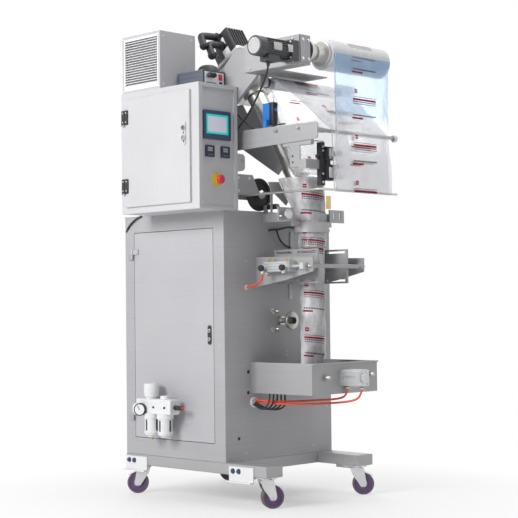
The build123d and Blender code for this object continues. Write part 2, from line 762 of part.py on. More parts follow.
bag_low = tray_low + 114.0
bag_foot = (74.0, 34.0)
bag_straight = 210.0
with BuildPart() as film_bag:
    bar_z(former_x, former_y, (bag_low + bag_straight, tube_low), tube_radius)
    with BuildSketch(Plane.XY.offset(bag_low)):
        with Locations((former_x, former_y)):
            Ellipse(bag_foot[0], bag_foot[1])
    with BuildSketch(Plane.XY.offset(bag_low + bag_straight)):
        with Locations((former_x, former_y)):
            Circle(tube_radius - 0.4)
    loft()
pieces["film_bag"] = film_bag

# Former support: ring clamp, side plates and two ears
ear_reach = 217.0
ear_height = 58.0
support_half = 130.0
support_rail = 40.0
ear_slot = (34.0, 10.0)
with BuildPart() as former_support:
    slab((former_x - ear_reach, former_x + ear_reach), (former_y - 3, former_y + 3), (collar_low, collar_low + ear_height))
    slab((former_x - support_half, former_x + support_half), (former_y - 3, former_y + 3), (collar_low - 22, collar_low))
    for x in (former_x - support_half, former_x + support_half):
        slab((x - 3, x + 3), (former_y + 3, front), (collar_low, collar_low + support_rail))
    bar_z(former_x, former_y, (collar_low, collar_low + ear_height + 1), 118, mode=Mode.SUBTRACT)
    bar_z(former_x, former_y, (neck_low, collar_low - 4), 78)
    bar_z(former_x, former_y, (neck_low - 1, collar_low + ear_height), collar_inner + collar_sheet, mode=Mode.SUBTRACT)
    with BuildSketch(Plane.XZ.offset(-(former_y + 4))):
        for x in (former_x + ear_reach - 26, former_x + ear_reach - 66):
            with Locations((x, collar_low + ear_height / 2 + 4)):
                SlotOverall(ear_slot[0], ear_slot[1], rotation=90)
    extrude(amount=8, mode=Mode.SUBTRACT)
pieces["former_support"] = former_support

# Brace plate behind the collar, on a leg that stands on the former's support
brace_y = (front - 62.0, front - 56.0)
brace_x = former_x - support_half
with BuildPart() as collar_braces:
    front_plate(
        brace_y,
        (
            (brace_x - 16, cabinet_top + 133),
            (brace_x + 49, cabinet_top + 136),
            (brace_x + 109, cabinet_top + 48),
            (brace_x + 97, cabinet_top + 32),
            (brace_x + 9, cabinet_top + 92),
            (brace_x + 6, collar_low + support_rail),
            (brace_x - 3, collar_low + support_rail),
            (brace_x - 3, cabinet_top + 104),
        ),
    )
pieces["collar_braces"] = collar_braces

# Date coder on its bracket
coder_z = (cabinet_top + 92.0, cabinet_top + 278.0)
coder_x = box_right + 127.0
with BuildPart() as date_coder:
    slab((coder_x, coder_x + 27), (front - 412, front - 390), coder_z)
    slab((coder_x + 27, coder_x + 74), (front - 422, front - 380), (coder_z[0] + 110, coder_z[0] + 168))
    slab((coder_x + 27, coder_x + 88), (front - 420, front - 384), (coder_z[0] + 24, coder_z[0] + 92))
    slab((coder_x + 35, coder_x + 60), (front - 414, front - 390), (coder_z[0] + 90, coder_z[0] + 112))
    for z in (coder_z[0] + 40, coder_z[0] + 82, coder_z[0] + 140):
        bar_y(coder_x + 104 - 16, (front - 436, front - 420), z, 12)
        slab((coder_x + 60, coder_x + 92), (front - 424, front - 400), (z - 5, z + 5))
    bar_x((coder_x - 14, coder_x), front - 402, coder_z[0] + 124, 9)
pieces["date_coder"] = date_coder

with BuildPart() as coder_bracket:
    slab((side_arm_x[1], side_arm_x[1] + 20), (front - 434, front - 270), (cabinet_top + 262, cabinet_top + 286))
    slab((side_arm_x[1], side_arm_x[1] + 5), (front - 369, front - 311), (cabinet_top + 172, cabinet_top + 262))
    slab((side_arm_x[1] + 5, coder_x), (front - 405, front - 400), (cabinet_top + 162, cabinet_top + 202))
    slab((side_arm_x[1], side_arm_x[1] + 5), (front - 405, front - 360), (cabinet_top + 162, cabinet_top + 202))
    for y in (front - 410, front - 352, front - 294):
        slab((side_arm_x[1] + 8, side_arm_x[1] + 14), (y - 14, y + 14), (cabinet_top + 261, cabinet_top + 287), mode=Mode.SUBTRACT)
pieces["coder_bracket"] = coder_bracket

eye_z = (cabinet_top + 372.0, cabinet_top + 470.0)
eye_x = side_arm_x[1] + 25.0
with BuildPart() as photo_eye:
    slab((eye_x, eye_x + 30), (front - 186, front - 124), eye_z)
    fillet(photo_eye.edges().filter_by(Axis.X), 4)
    bar_y(eye_x + 15, (front - 190, front - 186), eye_z[1] - 32, 7)
    slab((side_arm_x[1], eye_x), (front - 170, front - 150), (eye_z[0], eye_z[0] + 20))
    slab((side_arm_x[1], side_arm_x[1] + 5), (front - 170, front - 150), (side_arm_z[1] - 58, eye_z[0] + 20))
pieces["photo_eye"] = photo_eye

# Handwheel at the control box's right side, and the bracket round it
wheel_centre = (box_right + 182.0, front + 12.0, cabinet_top + 81.0)
handwheel_radius = 75.0
handwheel_rim = 16.0
with BuildPart() as handwheel:
    bar_y(wheel_centre[0], (wheel_centre[1], wheel_centre[1] + handwheel_rim), wheel_centre[2], handwheel_radius)
    fillet(handwheel.edges().filter_by(GeomType.CIRCLE), 5)
    bar_y(wheel_centre[0], (wheel_centre[1] - 1, wheel_centre[1] + 5), wheel_centre[2], handwheel_radius - 16, mode=Mode.SUBTRACT)
    bar_y(wheel_centre[0], (wheel_centre[1] - 8, wheel_centre[1] + 6), wheel_centre[2], 18)
pieces["handwheel"] = handwheel

handle_spot = (wheel_centre[0] + 26, wheel_centre[2] - 57)
with BuildPart() as handwheel_bracket:
    behind = wheel_centre[1] + handwheel_rim + running_gap
    bar_y(wheel_centre[0], (behind, behind + 22), wheel_centre[2], 12)
    slab((box_right + 4, wheel_centre[0] + 20), (behind + 22, behind + 28), (wheel_centre[2] - 24, wheel_centre[2] + 24))
    slab((box_right + 4, box_right + 10), (front - 14, behind + 28), (cabinet_top, cabinet_top + 160))
    front_plate(
        (front - 14, front - 8),
        (
            (box_right + 4, cabinet_top + 164),
            (box_right + 109, cabinet_top + 164),
            (box_right + 153, cabinet_top + 83),
            (box_right + 153, cabinet_top + 73),
            (box_right + 4, cabinet_top + 73),
        ),
    )
    slab((handle_spot[0] - 12, handle_spot[0] + 12), (front, front + 6), (cabinet_top, handle_spot[1] + 6))
    bar_y(handle_spot[0], (front - 76, front + 6), handle_spot[1], 10)
    bar_y(turn_bar_x[0], (front - 20, column_y[0]), turn_bar_z, turn_bar_radius + running_gap, mode=Mode.SUBTRACT)
pieces["handwheel_bracket"] = handwheel_bracket

# Clamp station: side plates on the cabinet, front rod and two slotted plates
clamp_x = (former_x - clamp_span / 2, former_x + clamp_span / 2)
plate_sheet = 8.0
with BuildPart() as clamp_frame:
    for x in (clamp_x[0], clamp_x[1] - plate_sheet):
        side_plate(
            (x, x + plate_sheet),
            (
                (front, clamp_z + 48),
                (front - clamp_reach, clamp_z + 38),
                (front - clamp_reach, clamp_z - 24),
                (front - clamp_reach * 0.52, clamp_z - 60),
                (front, clamp_z - 87),
            ),
        )
    bar_x((clamp_x[0] + plate_sheet, clamp_x[1] - plate_sheet), front - clamp_reach + 12, clamp_z, 9)
    for x in (clamp_x[0] + plate_sheet, clamp_x[1] - plate_sheet - 14):
        bar_x((x, x + 14), front - clamp_reach + 12, clamp_z, 14)
pieces["clamp_frame"] = clamp_frame

inner_half = 101.0
slot_height = 10.0
with BuildPart() as slotted_plates:
    for x in (former_x - inner_half, former_x + inner_half - plate_sheet):
        slab((x, x + plate_sheet), (front - 313, front - 47), (clamp_z - 75, clamp_z + 78))
        for z in (clamp_z - 62, clamp_z + 65):
            for slot_y in ((front - 300, front - 190), (front - 160, front - 62)):
                slab((x - 1, x + plate_sheet + 1), slot_y, (z - slot_height / 2, z + slot_height / 2), mode=Mode.SUBTRACT)
    for z in (clamp_z - 30, clamp_z + 30):
        bar_x((clamp_x[0] + plate_sheet, former_x - inner_half), front - 80, z, 8)
        bar_x((former_x + inner_half, clamp_x[1] - plate_sheet), front - 80, z, 8)
pieces["slotted_plates"] = slotted_plates

cylinder_half = 24.0
with BuildPart() as clamp_cylinder:
    slab((clamp_x[0] - 2 * cylinder_half, clamp_x[0]), (front - 250, front - 86), (clamp_z - cylinder_half, clamp_z + cylinder_half))
    fillet(clamp_cylinder.edges().filter_by(Axis.Y), 5)
    bar_y(clamp_x[0] - cylinder_half, (front - 312, front - 250), clamp_z, 7)
    slab((clamp_x[0] - 36, clamp_x[0]), (front - 322, front - 302), (clamp_z - 14, clamp_z + 14))
    for y in (front - 232, front - 104):
        bar_x((clamp_x[0] - 2 * cylinder_half - 16, clamp_x[0] - 2 * cylinder_half), y, clamp_z - 6, 8)
        bar_z(clamp_x[0] - 2 * cylinder_half - 16, y, (clamp_z - 30, clamp_z + 1), 8)
pieces["clamp_cylinder"] = clamp_cylinder

# Seal tray with its cylinder and moving jaw
tray_x = (former_x - tray_side, former_x - tray_side + tray_width)
tray_y = (front - tray_depth, front)
tray_z = (tray_low, tray_low + tray_height)
ram_z = tray_low + 70.0
ram_radius = 9.0
ram_clearance = 0.1
with BuildPart() as seal_tray:
    slab(tray_x, tray_y, tray_z)
    slab(
        (tray_x[0] + tray_sheet, tray_x[1] - tray_sheet),
        (tray_y[0] + tray_sheet, tray_y[1] - tray_sheet),
        (tray_low + tray_sheet, tray_z[1] + 1),
        mode=Mode.SUBTRACT,
    )
    slab((tray_x[0], tray_x[1]), (tray_y[0] - 8, tray_y[0]), (tray_z[1] - tray_sheet, tray_z[1]))
    bar_y(former_x, (tray_y[0] - 1, tray_y[0] + tray_sheet + 1), ram_z, ram_radius + ram_clearance, mode=Mode.SUBTRACT)
    for x, z in ((tray_x[0] + 84, tray_low + 74), (tray_x[1] - 58, tray_low + 78)):
        bar_y(x, (tray_y[0] - 9, tray_y[0]), z, 9)
pieces["seal_tray"] = seal_tray

ram_half = 36.0
ram_body = 110.0
with BuildPart() as tray_cylinder:
    slab((former_x - ram_half, former_x + ram_half), (tray_y[0] - ram_body, tray_y[0]), (ram_z - ram_half, ram_z + ram_half))
    fillet(tray_cylinder.edges().filter_by(Axis.Y), 7)
    slab((former_x - ram_half - 1, former_x + ram_half + 1), (tray_y[0] - ram_body + 22, tray_y[0] - 22), (ram_z - 8, ram_z + 8), mode=Mode.SUBTRACT)
    slab((former_x - ram_half + 6, former_x + ram_half - 6), (tray_y[0] - ram_body + 20, tray_y[0] - 20), (ram_z - 9, ram_z + 9))
    bar_y(former_x, (tray_y[0] - ram_body + 10, tray_y[0] + 1), ram_z, ram_radius + ram_clearance, mode=Mode.SUBTRACT)
    for y in (tray_y[0] - ram_body + 14, tray_y[0] - 14):
        bar_z(former_x, y, (ram_z - ram_half - 14, ram_z - ram_half), 7)
pieces["tray_cylinder"] = tray_cylinder

jaw_travel = 60.0
jaw_closed_gap = 5.0
jaw_depth = 30.0
jaw_half_height = 25.0
jaw_inset = 60.0
jaw_back = former_y - jaw_travel - jaw_closed_gap - jaw_depth
jaw_x = (tray_x[0] + jaw_inset, tray_x[1] - jaw_inset)
jaw_z = (ram_z - jaw_half_height, ram_z + jaw_half_height)
with BuildPart() as front_jaw:
    slab(jaw_x, (jaw_back, jaw_back + jaw_depth), jaw_z)
    chamfer(front_jaw.faces().sort_by(Axis.Y)[-1].edges().filter_by(Axis.X), 8)
    bar_y(former_x, (tray_y[0] - ram_body + 15, jaw_back), ram_z, ram_radius)
pieces["front_jaw"] = front_jaw

with BuildPart() as rear_jaw:
    slab(jaw_x, (former_y, former_y + jaw_depth), jaw_z)
    chamfer(rear_jaw.faces().sort_by(Axis.Y)[0].edges().filter_by(Axis.X), 8)
    for x in (jaw_x[0] + 40, jaw_x[1] - 40):
        bar_y(x, (former_y + jaw_depth, front - tray_sheet), ram_z, 10)
pieces["rear_jaw"] = rear_jaw

# Drive disc on the cabinet's front
disc_centre = (former_x - 23.0, front - 75.0, beam_top + 619.0)
disc_radius = 40.0
with BuildPart() as drive_disc:
    bar_y(disc_centre[0], (disc_centre[1] - 8, disc_centre[1] + 4), disc_centre[2], disc_radius)
    fillet(drive_disc.edges().filter_by(GeomType.CIRCLE), 2)
    bar_y(disc_centre[0], (disc_centre[1] + 4, front - running_gap), disc_centre[2], 12)
    bar_y(disc_centre[0], (front - 20, front - running_gap), disc_centre[2], 20)
    bar_y(disc_centre[0], (disc_centre[1] - 14, disc_centre[1] - 8), disc_centre[2], 11)
pieces["drive_disc"] = drive_disc

# Air treatment unit on the cabinet door
air_z = beam_top + 233.0
air_x = left - 60.0
air_y = (front + 264.0, front + 499.0)
air_bowl_y = (front + 330.0, front + 422.0)
air_knob_y = front + 424.0
air_inlet_y = air_y[0] - 50.0
air_hose_radius = 4.0
bowl_radius = 33.0
with BuildPart() as air_unit:
    slab((air_x - 30, air_x + 30), air_y, (air_z - 32, air_z + 36))
    fillet(air_unit.edges(), 6)
    for y in air_bowl_y:
        bar_z(air_x, y, (air_z - 128, air_z - 30), bowl_radius)
        with Locations((air_x, y, air_z - 128)):
            Cylinder(bowl_radius - 12, 16)
        bar_z(air_x, y, (air_z - 52, air_z - 30), bowl_radius + 5)
    fillet(air_unit.faces().filter_by(Axis.Z).sort_by(Axis.Z)[2:4].edges().filter_by(GeomType.CIRCLE), 4)
    bar_z(air_x, air_knob_y, (air_z + 34, air_z + 46), 26)
    bar_z(air_x, air_knob_y, (air_z + 46, air_z + 105), 33)
    bar_z(air_x, air_bowl_y[0], (air_z + 34, air_z + 52), 22)
    bar_x((air_x - 46, air_x - 30), front + 480, air_z - 10, 25)
    bar_y(air_x, (air_inlet_y, air_y[0]), air_z, 9)
    bar_y(air_x, (air_inlet_y - 1, air_inlet_y + 16), air_z, air_hose_radius, mode=Mode.SUBTRACT)
    for y in (air_y[0] + 30, air_y[1] - 60):
        slab((air_x + 30, left), (y, y + 30), (air_z - 25, air_z + 25))
pieces["air_unit"] = air_unit

# Casters
swivel_radius = 24.0
plate_half = (45.0, 40.0)
plate_thickness = 5.0
head_drop = 12.0
axle_radius = 6.0
axle_clearance = 0.1
with BuildPart() as caster_plates:
    for x, y, turn in caster_spots.values():
        slab((x - plate_half[0], x + plate_half[0]), (y - plate_half[1], y + plate_half[1]), (caster_height - plate_thickness, caster_height))
        bar_z(x, y, (caster_height - head_drop, caster_height - plate_thickness), swivel_radius)
pieces["caster_plates"] = caster_plates

fork_inner = wheel_width / 2 + fork_gap
fork_crown = caster_height - head_drop - running_gap
for spot, (x, y, turn) in caster_spots.items():
    swivel = Plane(origin=(x, y, 0)).rotated((0, 0, turn))
    with BuildPart(swivel) as fork:
        with Locations((4, 0, fork_crown - fork_sheet / 2)):
            Box(64, 2 * (fork_inner + fork_sheet), fork_sheet)
        with Locations((0, 0, fork_crown - 9)):
            Cylinder(swivel_radius - 3, 12)
        for side in (-1, 1):
            leg = swivel * Plane(origin=(0, side * (fork_inner + fork_sheet / 2), 0), x_dir=(1, 0, 0), z_dir=(0, -1, 0))
            with BuildSketch(leg):
                with BuildLine():
                    Polyline(
                        (-26, fork_crown),
                        (36, fork_crown),
                        (caster_trail + 14, wheel_radius + 6),
                        (caster_trail + 10, wheel_radius - 12),
                        (caster_trail - 12, wheel_radius - 12),
                        (-14, fork_crown - 34),
                        close=True,
                    )
                make_face()
            extrude(amount=fork_sheet / 2, both=True)
        with Locations(Location((caster_trail, 0, wheel_radius), (90, 0, 0))):
            Cylinder(axle_radius, 2 * (fork_inner + fork_sheet + 4))
        with Locations(Location((caster_trail + 25, 0, fork_crown - 29), (0, 24, 0))):
            Box(40, 2 * (fork_inner + fork_sheet), 3)
    pieces["fork_" + spot] = fork
    with BuildPart(swivel) as wheel:
        with Locations(Location((caster_trail, 0, wheel_radius), (90, 0, 0))):
            Cylinder(wheel_radius, wheel_width)
            fillet(wheel.edges().filter_by(GeomType.CIRCLE), 5)
            for side in (-1, 1):
                with Locations((0, 0, side * wheel_width / 2)):
                    Cylinder(wheel_radius - 11, 8, mode=Mode.SUBTRACT)
            Cylinder(17, wheel_width)
            Cylinder(axle_radius + axle_clearance, wheel_width + 2, mode=Mode.SUBTRACT)
    pieces["wheel_" + spot] = wheel

# Air hoses: from the tray's cylinder to the cabinet, and from the clamp's cylinder
hose_radius = 3.0
hose_bends = []
with BuildPart() as air_hoses:
    for index, y in enumerate((tray_y[0] - ram_body + 14, tray_y[0] - 14)):
        drop = tray_low - 62.0 + 10 * index
        hose_bends.append(cord(hose_radius, (
            (former_x, y, ram_z - ram_half - 14),
            (former_x, y, drop),
            (former_x - 46 - 16 * index, front - 60, drop),
            (former_x - 46 - 16 * index, front, drop),
        )))
    elbow_x = clamp_x[0] - 2 * cylinder_half - 16
    hose_bends.append(cord(hose_radius, (
        (elbow_x, front - 104, clamp_z - 30),
        (elbow_x, front - 104, clamp_z - 102),
        (elbow_x, front, clamp_z - 102),
    )))
pieces["air_hoses"] = air_hoses

# Heater cables from the tray into the cabinet's gland, and the gear motor's lead
cable_radius = 2.5
cable_count = 5
cable_drop = tray_low - 56.0
lead_radius = 5.0
with BuildPart() as cables:
    for index in range(cable_count):
        x = tray_x[0] + 24 + 16 * index
        hose_bends.append(cord(cable_radius, (
            (x, front - 96, tray_low),
            (x, front - 96, cable_drop),
            (gland_x - 6 + 6.5 * index, front - 38, cable_drop),
            (gland_x - 6 + 6.5 * index, front, cable_drop),
        )))
    with BuildSketch(Plane.XZ.offset(-front)):
        with Locations((gland_x + 7, cable_drop)):
            SlotOverall(54, 28)
    extrude(amount=6)
    hose_bends.append(cord(lead_radius, (
        (motor_end + 92, roll_y + 10, gear_motor_z - 58),
        (motor_end + 92, roll_y + 10, gear_motor_z - 150),
        (box_right + 20, front - 160, gear_motor_z - 190),
        (box_right + 20, front + 10, gear_motor_z - 280),
        (box_right + 20, front + 10, sensor_box_z[1]),
    )))
pieces["cables"] = cables
print("cord bend radii", [round(bend, 1) for bend in hose_bends])

os.makedirs("parts", exist_ok=True)
for name, piece in pieces.items():
    piece.part.label = name
    export_step(piece.part, "parts/" + name + ".step")
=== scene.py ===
import json
import math
import bpy
from mathutils import Matrix, Vector


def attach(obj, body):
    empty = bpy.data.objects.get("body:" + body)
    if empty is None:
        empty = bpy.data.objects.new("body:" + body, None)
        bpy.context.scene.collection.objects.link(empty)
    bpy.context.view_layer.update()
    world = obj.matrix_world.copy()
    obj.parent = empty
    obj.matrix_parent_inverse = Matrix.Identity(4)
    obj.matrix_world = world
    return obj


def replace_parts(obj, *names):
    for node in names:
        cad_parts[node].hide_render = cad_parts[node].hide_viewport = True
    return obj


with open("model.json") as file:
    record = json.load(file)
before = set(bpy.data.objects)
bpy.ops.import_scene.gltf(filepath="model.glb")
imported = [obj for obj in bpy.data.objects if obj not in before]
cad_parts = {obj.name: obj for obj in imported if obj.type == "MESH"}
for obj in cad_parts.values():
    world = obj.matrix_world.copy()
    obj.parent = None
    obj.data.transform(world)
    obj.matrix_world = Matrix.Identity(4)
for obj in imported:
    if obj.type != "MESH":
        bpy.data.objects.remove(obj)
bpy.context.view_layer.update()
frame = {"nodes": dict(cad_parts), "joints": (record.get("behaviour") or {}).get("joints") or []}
nodes = frame["nodes"]
print("frame loaded")


# every place below is in millimetres from the cabinet's left face, from its front face, and from the floor
cabinetLeft, cabinetFront = 246.5, 87.85


def spot(x, y, z):
    return Vector(((x - cabinetLeft) / 1000, (y - cabinetFront) / 1000, z / 1000))


def put(place):
    # three numbers become a place in metres; a Vector is one already
    return place if isinstance(place, Vector) else spot(*place)


# shader maths: an expression on Wires adds its Math nodes
class Wire:
    def __init__(self, finish, socket):
        self.finish = finish
        self.socket = socket

    def other(self, name):
        return Wire(self.finish, self.socket.node.outputs[name])

    def sums(self, operation, first, second=None):
        values = [first] if second is None else [first, second]
        return self.finish.node("ShaderNodeMath", {"operation": operation}, *values)

    def __add__(self, more): return self.sums("ADD", self, more)
    def __radd__(self, more): return self.sums("ADD", more, self)
    def __sub__(self, less): return self.sums("SUBTRACT", self, less)
    def __rsub__(self, less): return self.sums("SUBTRACT", less, self)
    def __mul__(self, times): return self.sums("MULTIPLY", self, times)
    def __rmul__(self, times): return self.sums("MULTIPLY", times, self)
    def __mod__(self, step): return self.sums("FLOORED_MODULO", self, step)
    def __abs__(self): return self.sums("ABSOLUTE", self)
    def __gt__(self, level): return self.sums("GREATER_THAN", self, level)

    def band(self, middle, half, soft=0.0006):
        # 1 inside middle +- half, falling to 0 over soft
        return self.finish.clip((half - abs(self - middle)) * (1 / soft))


class Nodes:
    # the nodes of a material or of the world
    def __init__(self, owner, outputKind):
        owner.use_nodes = True
        self.tree = owner.node_tree
        self.tree.nodes.clear()
        self.output = self.tree.nodes.new(outputKind)

    def show(self, shader):
        self.tree.links.new(shader, self.output.inputs[0])

    def feed(self, socket, value):
        if isinstance(value, Wire):
            self.tree.links.new(value.socket, socket)
        elif socket.type == "RGBA":
            socket.default_value = (*value, 1) if len(value) == 3 else value
        else:
            socket.default_value = value

    def node(self, kind, settings=None, *values, **named):
        made = self.tree.nodes.new(kind)
        for key, setting in (settings or {}).items():
            setattr(made, key, setting)
        for socket, value in zip(made.inputs, values):
            self.feed(socket, value)
        for key, value in named.items():
            self.feed(made.inputs[key], value)
        return Wire(self, made.outputs[0])

    def clip(self, value):
        return self.node("ShaderNodeClamp", {}, value)

    def length(self, vector):
        return self.node("ShaderNodeVectorMath", {"operation": "LENGTH"}, vector).other("Value")

    def seen(self):
        # 1 where the camera, a reflection or clear film looks
        path = self.node("ShaderNodeLightPath")
        return self.clip(path + path.other("Is Glossy Ray") + path.other("Is Transmission Ray"))


class Finish(Nodes):
    def __init__(self, name):
        self.material = bpy.data.materials.new(name)
        super().__init__(self.material, "ShaderNodeOutputMaterial")
        self.shader = self.tree.nodes.new("ShaderNodeBsdfPrincipled")
        self.show(self.shader.outputs[0])
        self.place = self.node("ShaderNodeTexCoord").other("Object")
        apart = self.node("ShaderNodeSeparateXYZ", {}, self.place)
        self.x, self.y, self.z = apart, apart.other("Y"), apart.other("Z")

    def mix(self, mask, low, high):
        made = self.tree.nodes.new("ShaderNodeMix")
        made.data_type = "RGBA"
        self.feed(made.inputs[0], mask)
        self.feed(made.inputs[6], low)
        self.feed(made.inputs[7], high)
        return Wire(self, made.outputs[2])

    def noise(self, scale, detail=2.0, stretch=(1, 1, 1), rough=0.5):
        stretched = self.node("ShaderNodeMapping", {}, Vector=self.place, Scale=stretch)
        return self.node("ShaderNodeTexNoise", {}, Vector=stretched, Scale=scale, Detail=detail, Roughness=rough)

    def bump(self, height, depth, strength=1.0):
        return self.node("ShaderNodeBump", {}, Height=height, Distance=depth, Strength=strength)

    def surface(self, **sockets):
        for key, value in sockets.items():
            self.feed(self.shader.inputs[key.replace("_", " ")], value)
        return self.material


def brushedSteel(name, low, high, metal=0.75, rough=0.3, grain=(3, 3, 260)):
    f = Finish(name)
    lines = f.noise(1.0, 3.0, grain)
    cloud = f.noise(2.6, 2.0)
    worn = f.noise(34.0, 4.0)
    tone = f.clip(lines * 0.55 + cloud * 0.7 - 0.12)
    return f.surface(Base_Color=f.mix(tone, low, high), Metallic=metal,
                     Roughness=rough + lines * 0.14 + cloud * 0.1 + worn * 0.05,
                     Normal=f.bump(lines, 0.0003, 0.25))


def paint(name, low, high, rough=0.38, coat=0.0, peel=260.0):
    f = Finish(name)
    cloud = f.noise(3.0, 3.0)
    skin = f.noise(peel, 2.0)
    return f.surface(Base_Color=f.mix(f.clip(cloud * 1.6 - 0.3), low, high), Coat_Weight=coat,
                     Roughness=rough + skin * 0.1 + cloud * 0.06, Normal=f.bump(skin, 0.0004, 0.18))


def moulded(name, low, high, rough=0.42, grain=900.0, depth=0.0002):
    f = Finish(name)
    speck = f.noise(grain, 2.0)
    cloud = f.noise(14.0, 3.0)
    return f.surface(Base_Color=f.mix(cloud, low, high), Roughness=rough + speck * 0.14 + cloud * 0.08,
                     Normal=f.bump(speck, depth, 0.3))


def plated(name, low, high, rough=0.18):
    f = Finish(name)
    cloud = f.noise(22.0, 4.0)
    fine = f.noise(160.0, 3.0)
    return f.surface(Base_Color=f.mix(cloud, low, high), Metallic=1.0, Roughness=rough + cloud * 0.16 + fine * 0.06,
                     Normal=f.bump(fine, 0.0003, 0.15))


# printed film: plain bars, dashes and rings that repeat along its length
filmPrint = {"pitch": 0.2, "red": (0.42, 0.008, 0.03), "dark": (0.05, 0.045, 0.05), "middle": 0.1265}
bagMiddle = (0.1265, -0.27385)


def filmStripes(f, along, across, shift, half):
    # ink mask and the dark part of it; across is measured from the print's middle
    step = (along + shift) % filmPrint["pitch"]
    wide = across.band(0.1 * half, 0.9 * half)
    short = across.band(-0.45 * half, 0.42 * half)
    thick = step.band(0.030, 0.0046) * wide + step.band(0.148, 0.0042) * short
    thin = step.band(0.041, 0.0013) * wide
    longDashes = (step.band(0.020, 0.0032) + step.band(0.011, 0.0022)) * wide * ((across % 0.008) > 0.0026)
    dashes = longDashes + step.band(0.161, 0.0036) * wide * ((across % 0.007) > 0.0022)
    square = step.band(0.066, 0.009) * across.band(-0.55 * half, 0.009)
    slit = step.band(0.066, 0.002) * across.band(-0.55 * half, 0.006)
    aroundRing = f.node("ShaderNodeCombineXYZ", {}, across - 0.2 * half, step - 0.104, 0.0)
    ring = f.length(aroundRing).band(0.024, 0.0009)
    darkPart = f.clip(dashes + thin)
    return f.clip(thick + darkPart + square - slit + ring * 0.4), darkPart


def filmSurface(name, low, high, see, shift, half, along, across, creases, cover=None, tint=None, passing=0.3):
    # see: how much of the plain film shows; creases: their scale and depth; cover: hides the print where it is 0
    f = Finish(name)
    acrossWire, alongWire = across(f), along(f)
    ink, dark = filmStripes(f, alongWire, acrossWire, shift, half)
    if cover:
        ink = ink * cover(f)
    haze = f.noise(6.0, 3.0)
    folds = f.noise(creases[0], 4.0, (1.0, 1.0, 0.4), 0.62)
    fine = f.noise(creases[0] * 3.2, 3.0, (1.0, 0.6, 1.0), 0.6)
    # painted shade and sheen: the fold noise darkens the plain film's colour in the fold hollows and lightens it on
    # the ridges, mixed with random haze; it also adds to the film's alpha on the ridges
    paintedSheen = f.clip(folds * 3.6 - 1.25)
    plain = f.mix(f.clip(paintedSheen * 0.75 + haze * 0.3), low, high)
    if tint:
        plain = f.mix(tint[0](f), plain, tint[1])
    inked = f.mix(dark, filmPrint["red"], filmPrint["dark"])
    plainSee = see(f) if callable(see) else see
    return f.surface(Base_Color=f.mix(ink, plain, inked), Roughness=0.12 + haze * 0.16,
                     Alpha=f.clip(ink * 0.5 + plainSee + paintedSheen * 0.12 - 0.04), Coat_Weight=0.3,
                     Transmission_Weight=passing, IOR=1.12,
                     Normal=f.bump(folds + fine * 0.35, creases[1], 0.6))


finishes = {
    "cabinet": brushedSteel("satinSteel", (0.36, 0.36, 0.375), (0.5, 0.5, 0.52), 0.22, 0.4),
    # the door wears a lighter copy of the cabinet's steel: painted light on the lit left side
    "door": brushedSteel("doorSteel", (0.43, 0.43, 0.45), (0.54, 0.54, 0.56), 0.22, 0.4),
    "frame": brushedSteel("frameSteel", (0.36, 0.36, 0.37), (0.48, 0.48, 0.49), 0.4, 0.34, (3, 260, 260)),
    "plate": brushedSteel("plateSteel", (0.33, 0.33, 0.34), (0.47, 0.47, 0.48), 0.35, 0.34, (260, 3, 260)),
    "bright": plated("polishedSteel", (0.42, 0.41, 0.39), (0.66, 0.65, 0.62), 0.2),
    "boxPaint": paint("boxPaint", (0.58, 0.58, 0.6), (0.64, 0.64, 0.66), 0.4),
    "whitePaint": paint("whitePaint", (0.8, 0.8, 0.81), (0.86, 0.86, 0.87), 0.34),
    "rollerWhite": paint("rollerWhite", (0.84, 0.85, 0.87), (0.9, 0.91, 0.93), 0.3, 0.3),
    "whitePlastic": moulded("whitePlastic", (0.76, 0.77, 0.78), (0.84, 0.85, 0.86)),
    "navy": moulded("navyPlastic", (0.035, 0.05, 0.12), (0.05, 0.07, 0.15), 0.32),
    "black": moulded("blackPlastic", (0.012, 0.012, 0.014), (0.028, 0.028, 0.032), 0.34),
    "blackCast": paint("blackCasting", (0.012, 0.012, 0.016), (0.028, 0.029, 0.034), 0.36, 0.0, 420.0),
    "bluePlastic": moulded("bluePlastic", (0.01, 0.17, 0.62), (0.02, 0.23, 0.72), 0.35),
    "yellow": moulded("yellowPlastic", (0.82, 0.56, 0.01), (0.9, 0.66, 0.02), 0.35),
    "red": moulded("redPlastic", (0.62, 0.03, 0.05), (0.74, 0.05, 0.07), 0.3),
    "hose": moulded("orangeHose", (0.8, 0.07, 0.025), (0.9, 0.12, 0.04), 0.25),
    "rubber": moulded("blackRubber", (0.012, 0.012, 0.013), (0.03, 0.03, 0.033), 0.5, 600.0, 0.0004),
    "zinc": plated("zincPlate", (0.52, 0.52, 0.53), (0.72, 0.72, 0.73), 0.24),
    "brass": plated("brass", (0.5, 0.36, 0.12), (0.66, 0.5, 0.2), 0.22),
    "silver": brushedSteel("silverAluminium", (0.5, 0.51, 0.52), (0.72, 0.73, 0.74), 0.6, 0.28, (260, 3, 260)),
    "dialGrey": paint("dialGrey", (0.1, 0.115, 0.15), (0.14, 0.16, 0.2), 0.36),
    "discGrey": moulded("discGrey", (0.5, 0.5, 0.5), (0.6, 0.6, 0.6)),
}
print("finishes made")


# finishes that are made for one node
screenLook = {"middle": (-0.3065, 1.669), "border": (0.0665, 0.0435), "glass": (0.055, 0.034), "front": -0.1217}


